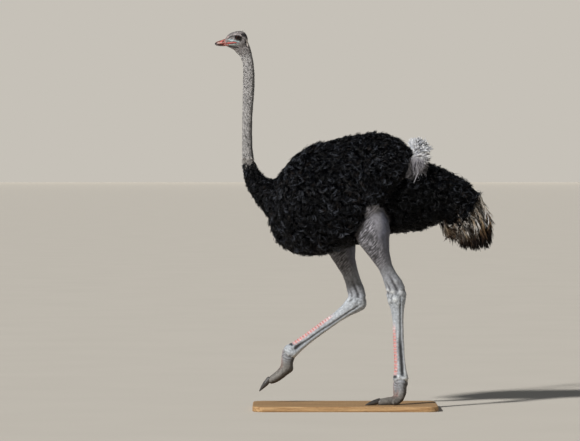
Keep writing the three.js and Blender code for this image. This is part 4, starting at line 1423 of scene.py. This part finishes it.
def barbs_on(shafts, flat, look, chance):
    """Middle lines of the barbs along both edges of shafts that face flat, in wisps that curl together.
    Gives the lines, their sideways directions, how far up its shaft each starts, and its shaft."""
    count, steps = shafts.shape[0], shafts.shape[1] - 1
    wisps, each = look["wisps"], look["in_wisp"]
    full = (count, wisps, each, 2)

    def varied(by_wisp, by_barb):
        shared = chance.normal(0, by_wisp, (count, wisps, 1, 2))
        return shared + chance.normal(0, by_barb, full)

    offset = np.linspace(-0.5, 0.5, each)[None, None, :, None]
    middle = np.linspace(look["bare"], 1.0, wisps)[None, :, None, None]
    where = np.clip(middle + offset * look["wisp_width"] + varied(0.02, 0.004), 0, 0.999)
    step = (where * steps).astype(int)
    part = (where * steps - step)[..., None]
    feather = np.arange(count)[:, None, None, None]
    at = shafts[feather, step] * (1 - part) + shafts[feather, step + 1] * part
    ahead = unit(shafts[feather, step + 1] - shafts[feather, step])
    face = flat[:, None, None, None]
    across = unit(np.cross(face, ahead)) * np.array([-1, 1])[None, None, None, :, None]
    opening = look["spread"] * (1.15 - 0.75 * where) + 0.22 * offset + varied(0.16, 0.03)
    out = np.cos(opening)[..., None] * ahead + np.sin(opening)[..., None] * across
    out = unit(out + varied(0.30, 0.06)[..., None] * face)
    size = look["length"] * (0.62 + 0.38 * np.sin(np.pi * where**0.8)) * (1 + varied(0.12, 0.07))
    turn = varied(look["curl"], 0.2 * look["curl"])
    line, asides = [at], []
    for ring in range(BARB_RINGS):
        line.append(line[-1] + out * size[..., None] / BARB_RINGS)
        asides.append(unit(np.cross(out, face + 0 * out)))
        out = unit(out + np.array([0, 0, -look["sag"] / BARB_RINGS]))
        angle = (turn * (2 * ring + 1) / BARB_RINGS**2)[..., None]
        out = unit(out * np.cos(angle) + np.cross(face, out) * np.sin(angle))
    line = np.stack(line, axis=4).reshape(-1, BARB_RINGS + 1, 3)
    asides = np.stack(asides, axis=4).reshape(-1, BARB_RINGS, 3)
    return line, asides, where.reshape(-1), np.repeat(np.arange(count), wisps * each * 2)


def off_the_skin(line, gap):
    """The lines with each point that lies under the skin, or nearer than gap over it, lifted off it."""
    lifted = line.copy()
    for row, column in np.ndindex(line.shape[:2]):
        at, normal, face, away = skin_tree.find_nearest(line[row, column].tolist())
        height = (Vector(line[row, column].tolist()) - at).dot(normal)
        if away < NEAR_SKIN and height < gap:
            lifted[row, column] += np.array(normal) * (gap - height)
    return lifted


def barbs_piece(name, barbs, asides, widest, tip, root_share, material, chance):
    """A piece of barbs, darker at their roots by root_share: painted shade deep in the plume."""
    width = widest * chance.uniform(0.6, 1.3, len(barbs))[:, None] * BARB_WIDTHS
    return locks_mesh(name, barbs, asides, width, 0.3, map_near(barbs[:, 0]), tip * root_share, tip, material)


def shafts_piece(name, shafts, flat, starts, widths, tone, material):
    """A piece of shafts that face flat, grow from their starts and taper from the first width."""
    asides = unit(np.cross(np.diff(shafts, axis=1), flat[:, None]))
    thin = np.tile(np.linspace(*widths, SHAFT_RINGS), (len(shafts), 1))
    return locks_mesh(name, shafts, asides, thin, 0.8, map_near(starts), tone, tone, material)


white_feather = feather_material("white_plume_keratin", 0.55, 0.4, 0.25, "#ffffff")
# Each group of plumes by how many there are, then for its first and its last plume: where it starts
# (outwards, back, up), its turn (90 degrees is straight up, 0 back) and its length.
SPRAYS = {
    "raised": {
        "count": 24, "start": [(0.120, 0.390, 1.474), (0.130, 0.394, 1.472)], "turn": (92, 18),
        "length": (0.070, 0.088), "tone": "#ffffff", "shade": "#7f8494", "gap": 0.004,
    },
    "spread": {
        "count": 12, "start": [(0.134, 0.384, 1.452), (0.140, 0.386, 1.448)], "turn": (6, -28),
        "length": (0.090, 0.072), "tone": "#fbf9f6", "shade": "#8a8d9b", "gap": 0.006,
    },
    # The hanging plumes are grey all over: mostly painted shade under the folded wing, over a faint
    # grey-brown tint.
    "hanging": {
        "count": 30, "start": [(0.156, 0.372, 1.448), (0.140, 0.428, 1.438)], "turn": (-106, -64),
        "length": (0.112, 0.040), "tone": "#b4b0b4", "shade": "#55525c", "gap": 0.014,
    },
}
START_VARIES = (0.018, 0.009, 0.009)
WHITE_BARB, WHITE_SHAFT = 0.0027, (0.0022, 0.0009)  # how wide, a shaft at its foot and its tip
WHITE_LOOK = {
    "wisps": 7, "in_wisp": 4, "wisp_width": 0.11, "bare": 0.14, "length": 0.036,
    "spread": math.radians(33), "sag": 0.30, "curl": 1.0,
}
for side, sign in SIDES.items():
    chance = np.random.default_rng(50 + sign)
    shafts, flat, tone, painted_shade_tone, gap = [], [], [], [], []
    for spray in SPRAYS.values():
        count = spray["count"]
        angle = np.radians(np.linspace(*spray["turn"], count) + chance.normal(0, 8, count))
        heading = np.stack([0 * angle, np.cos(angle), np.sin(angle)], axis=1)
        start = np.linspace(*spray["start"], count) + chance.uniform(-1, 1, (count, 3)) * START_VARIES
        length = np.linspace(*spray["length"], count) * chance.uniform(0.84, 1.02, count)
        end = start + heading * length[:, None]
        end[:, 0] += chance.uniform(-0.020, 0.020, count)
        bend = (start + end) / 2 + np.array([0.006, 0.008, 0.014]) * chance.uniform(0.2, 1.4, (count, 1))
        shafts.append(shaft_lines(start, bend, end, SHAFT_RINGS) * (sign, 1, 1))
        flat.append(unit(np.array([sign, 0, 0]) + chance.normal(0, 0.34, (count, 3))))
        tone += [linear(spray["tone"])[:3]] * count
        painted_shade_tone += [linear(spray["shade"])[:3]] * count
        gap += [spray["gap"]] * count
    shafts, flat = np.concatenate(shafts), np.concatenate(flat)
    barbs, asides, where, feather = barbs_on(shafts, flat, WHITE_LOOK, chance)
    barbs = off_the_skin(barbs, np.mean(gap))
    wisp = np.arange(len(barbs)) // (2 * WHITE_LOOK["in_wisp"])
    # Whole wisps, and single barbs a little, are darkened at random towards the spray's shade tone: painted
    # shade between the curls.
    wisp_shade = 0.75 * chance.random(wisp.max() + 1)[wisp] ** 1.5 + 0.2 * chance.random(len(barbs))
    wisp_shade = wisp_shade[:, None]
    tone, painted_shade_tone = np.array(tone), np.array(painted_shade_tone)
    bright = tone[feather] * (1 - wisp_shade) + painted_shade_tone[feather] * wisp_shade
    name = f"white_barbs_{side}"
    piece = barbs_piece(name, barbs, asides, WHITE_BARB, bright, 0.68, white_feather, chance)
    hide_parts(f"wing_plumes_{side}")
    name = f"white_shafts_{side}"
    piece = shafts_piece(name, shafts, flat, shafts[:, 0], WHITE_SHAFT, tone * 0.9, white_feather)


# ------------------------------------------------------------------ tail plumes
# Long drooping plumes hang from the end of the tail in a ragged brush, black at their roots, then
# white and tan, and dark brown at their tips. They are shafts with soft barbs, as on the wings.

TAIL_FEATHERS = 108
TAIL_HALF_WIDTH = 0.122
TAIL_BARB, TAIL_SHAFT = 0.0026, (0.0026, 0.0010)
TAIL_BARB_GAP, TAIL_SHAFT_GAP = 0.003, 0.006  # how far they are kept off the skin
# Start, bend and end (back, up) of the shafts along the top of the brush, its middle and its underside.
TAIL_TOP = [(0.752, 1.232), (0.858, 1.130), (0.840, 0.982)]
TAIL_MIDDLE = [(0.680, 1.138), (0.765, 1.070), (0.778, 0.950)]
TAIL_UNDER = [(0.618, 1.050), (0.645, 1.005), (0.668, 0.958)]
TAIL_BANDS = [
    (0.00, "#0d0c0f"), (0.05, "#2a2524"), (0.13, "#ded6ca"), (0.42, "#b9a283"),
    (0.64, "#7d6246"), (0.84, "#382a21"), (1.00, "#1b1512"),
]
TAIL_LOOK = {
    "wisps": 9, "in_wisp": 4, "wisp_width": 0.10, "bare": 0.03, "length": 0.064,
    "spread": math.radians(13), "sag": 0.7, "curl": 0.30,
}
CLUMP_FEATHERS = 9
UNDER_CLUMP = [(0.566, 1.086), (0.578, 1.022), (0.616, 0.996)]

chance = np.random.default_rng(61)
level = np.sort(chance.random(TAIL_FEATHERS))
low_half = np.clip(level * 2 - 1, 0, 1)[:, None]
high_half = np.clip(level * 2, 0, 1)[:, None]
shape = []
for top, middle, under in zip(TAIL_TOP, TAIL_MIDDLE, TAIL_UNDER):
    upper = np.array(top) * (1 - high_half) + np.array(middle) * high_half
    shape.append(upper * (1 - low_half) + np.array(under) * low_half)
spread_out = chance.choice([-1, 1], TAIL_FEATHERS) * np.sqrt(chance.uniform(0.02, 1, TAIL_FEATHERS))
fanned = TAIL_HALF_WIDTH * np.sqrt(1 - (2 * level - 1) ** 2 * 0.7) * spread_out
start, bend, end = (np.column_stack([fanned * (1 - 0.1 * i), place]) for i, place in enumerate(shape))
clump_x = chance.uniform(-0.085, 0.085, CLUMP_FEATHERS)
hanging = []
for back, up in UNDER_CLUMP:
    place = np.column_stack([clump_x, np.full(CLUMP_FEATHERS, back), np.full(CLUMP_FEATHERS, up)])
    hanging.append(place + chance.normal(0, 0.009, (CLUMP_FEATHERS, 3)))
start, bend, end = (np.concatenate(rows) for rows in zip((start, bend, end), hanging))
count = len(start)
end = start + (end - start) * chance.uniform(0.82, 1.04, (count, 1))
start[:, 1:] += chance.normal(0, 0.010, (count, 2))
shafts = off_the_skin(shaft_lines(start, bend, end, SHAFT_RINGS), TAIL_SHAFT_GAP)
for turn in range(3):
    shafts[:, 1:-1] = (shafts[:, :-2] + 2 * shafts[:, 1:-1] + shafts[:, 2:]) / 4
flat = unit(np.outer(np.sign(start[:, 0]), [1, 0, 0]) + chance.normal(0, 0.36, (count, 3)))
barbs, asides, where, feather = barbs_on(shafts, flat, TAIL_LOOK, chance)
barbs = off_the_skin(barbs, TAIL_BARB_GAP)
band_at, band_tone = zip(*TAIL_BANDS)
band_tone = np.array([linear(c)[:3] for c in band_tone])
along = where + chance.normal(0, 0.04, len(where)) + 0.08 * chance.normal(0, 1, count)[feather]
tip = np.stack([np.interp(along + 0.08, band_at, band_tone[:, i]) for i in range(3)], axis=1)
browner = np.concatenate([0.75 * eased(level, 0.45, 0.85), np.ones(CLUMP_FEATHERS)])
tip = painted(tip, browner[feather] * chance.uniform(0.5, 1.0, len(where)), "#33261d")
bleached = eased(along, 0.14, 0.26) * eased(along, 0.70, 0.50) * (1 - browner[feather])
wisp = np.arange(len(where)) // (2 * TAIL_LOOK["in_wisp"])
white_share = 0.65 - 0.3 * eased(np.append(level, np.ones(CLUMP_FEATHERS)), 0, 0.5)
white_wisp = (chance.random(len(where)) < white_share[feather])[wisp]
tip = painted(tip, 0.9 * bleached * white_wisp, "#f6f3ee")
dark_wisp = (chance.random(len(where)) < 0.20)[wisp] | (chance.random(count) < 0.20)[feather]
tip = painted(tip, 0.88 * dark_wisp, "#120e0d")
piece = barbs_piece("tail_barbs", barbs, asides, TAIL_BARB, tip, 0.7, black_feather, chance)
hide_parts("tail_plumes")
brown = np.tile(linear("#6d5a45")[:3], (count, 1))
piece = shafts_piece("tail_shafts", shafts, flat, start, TAIL_SHAFT, brown, black_feather)
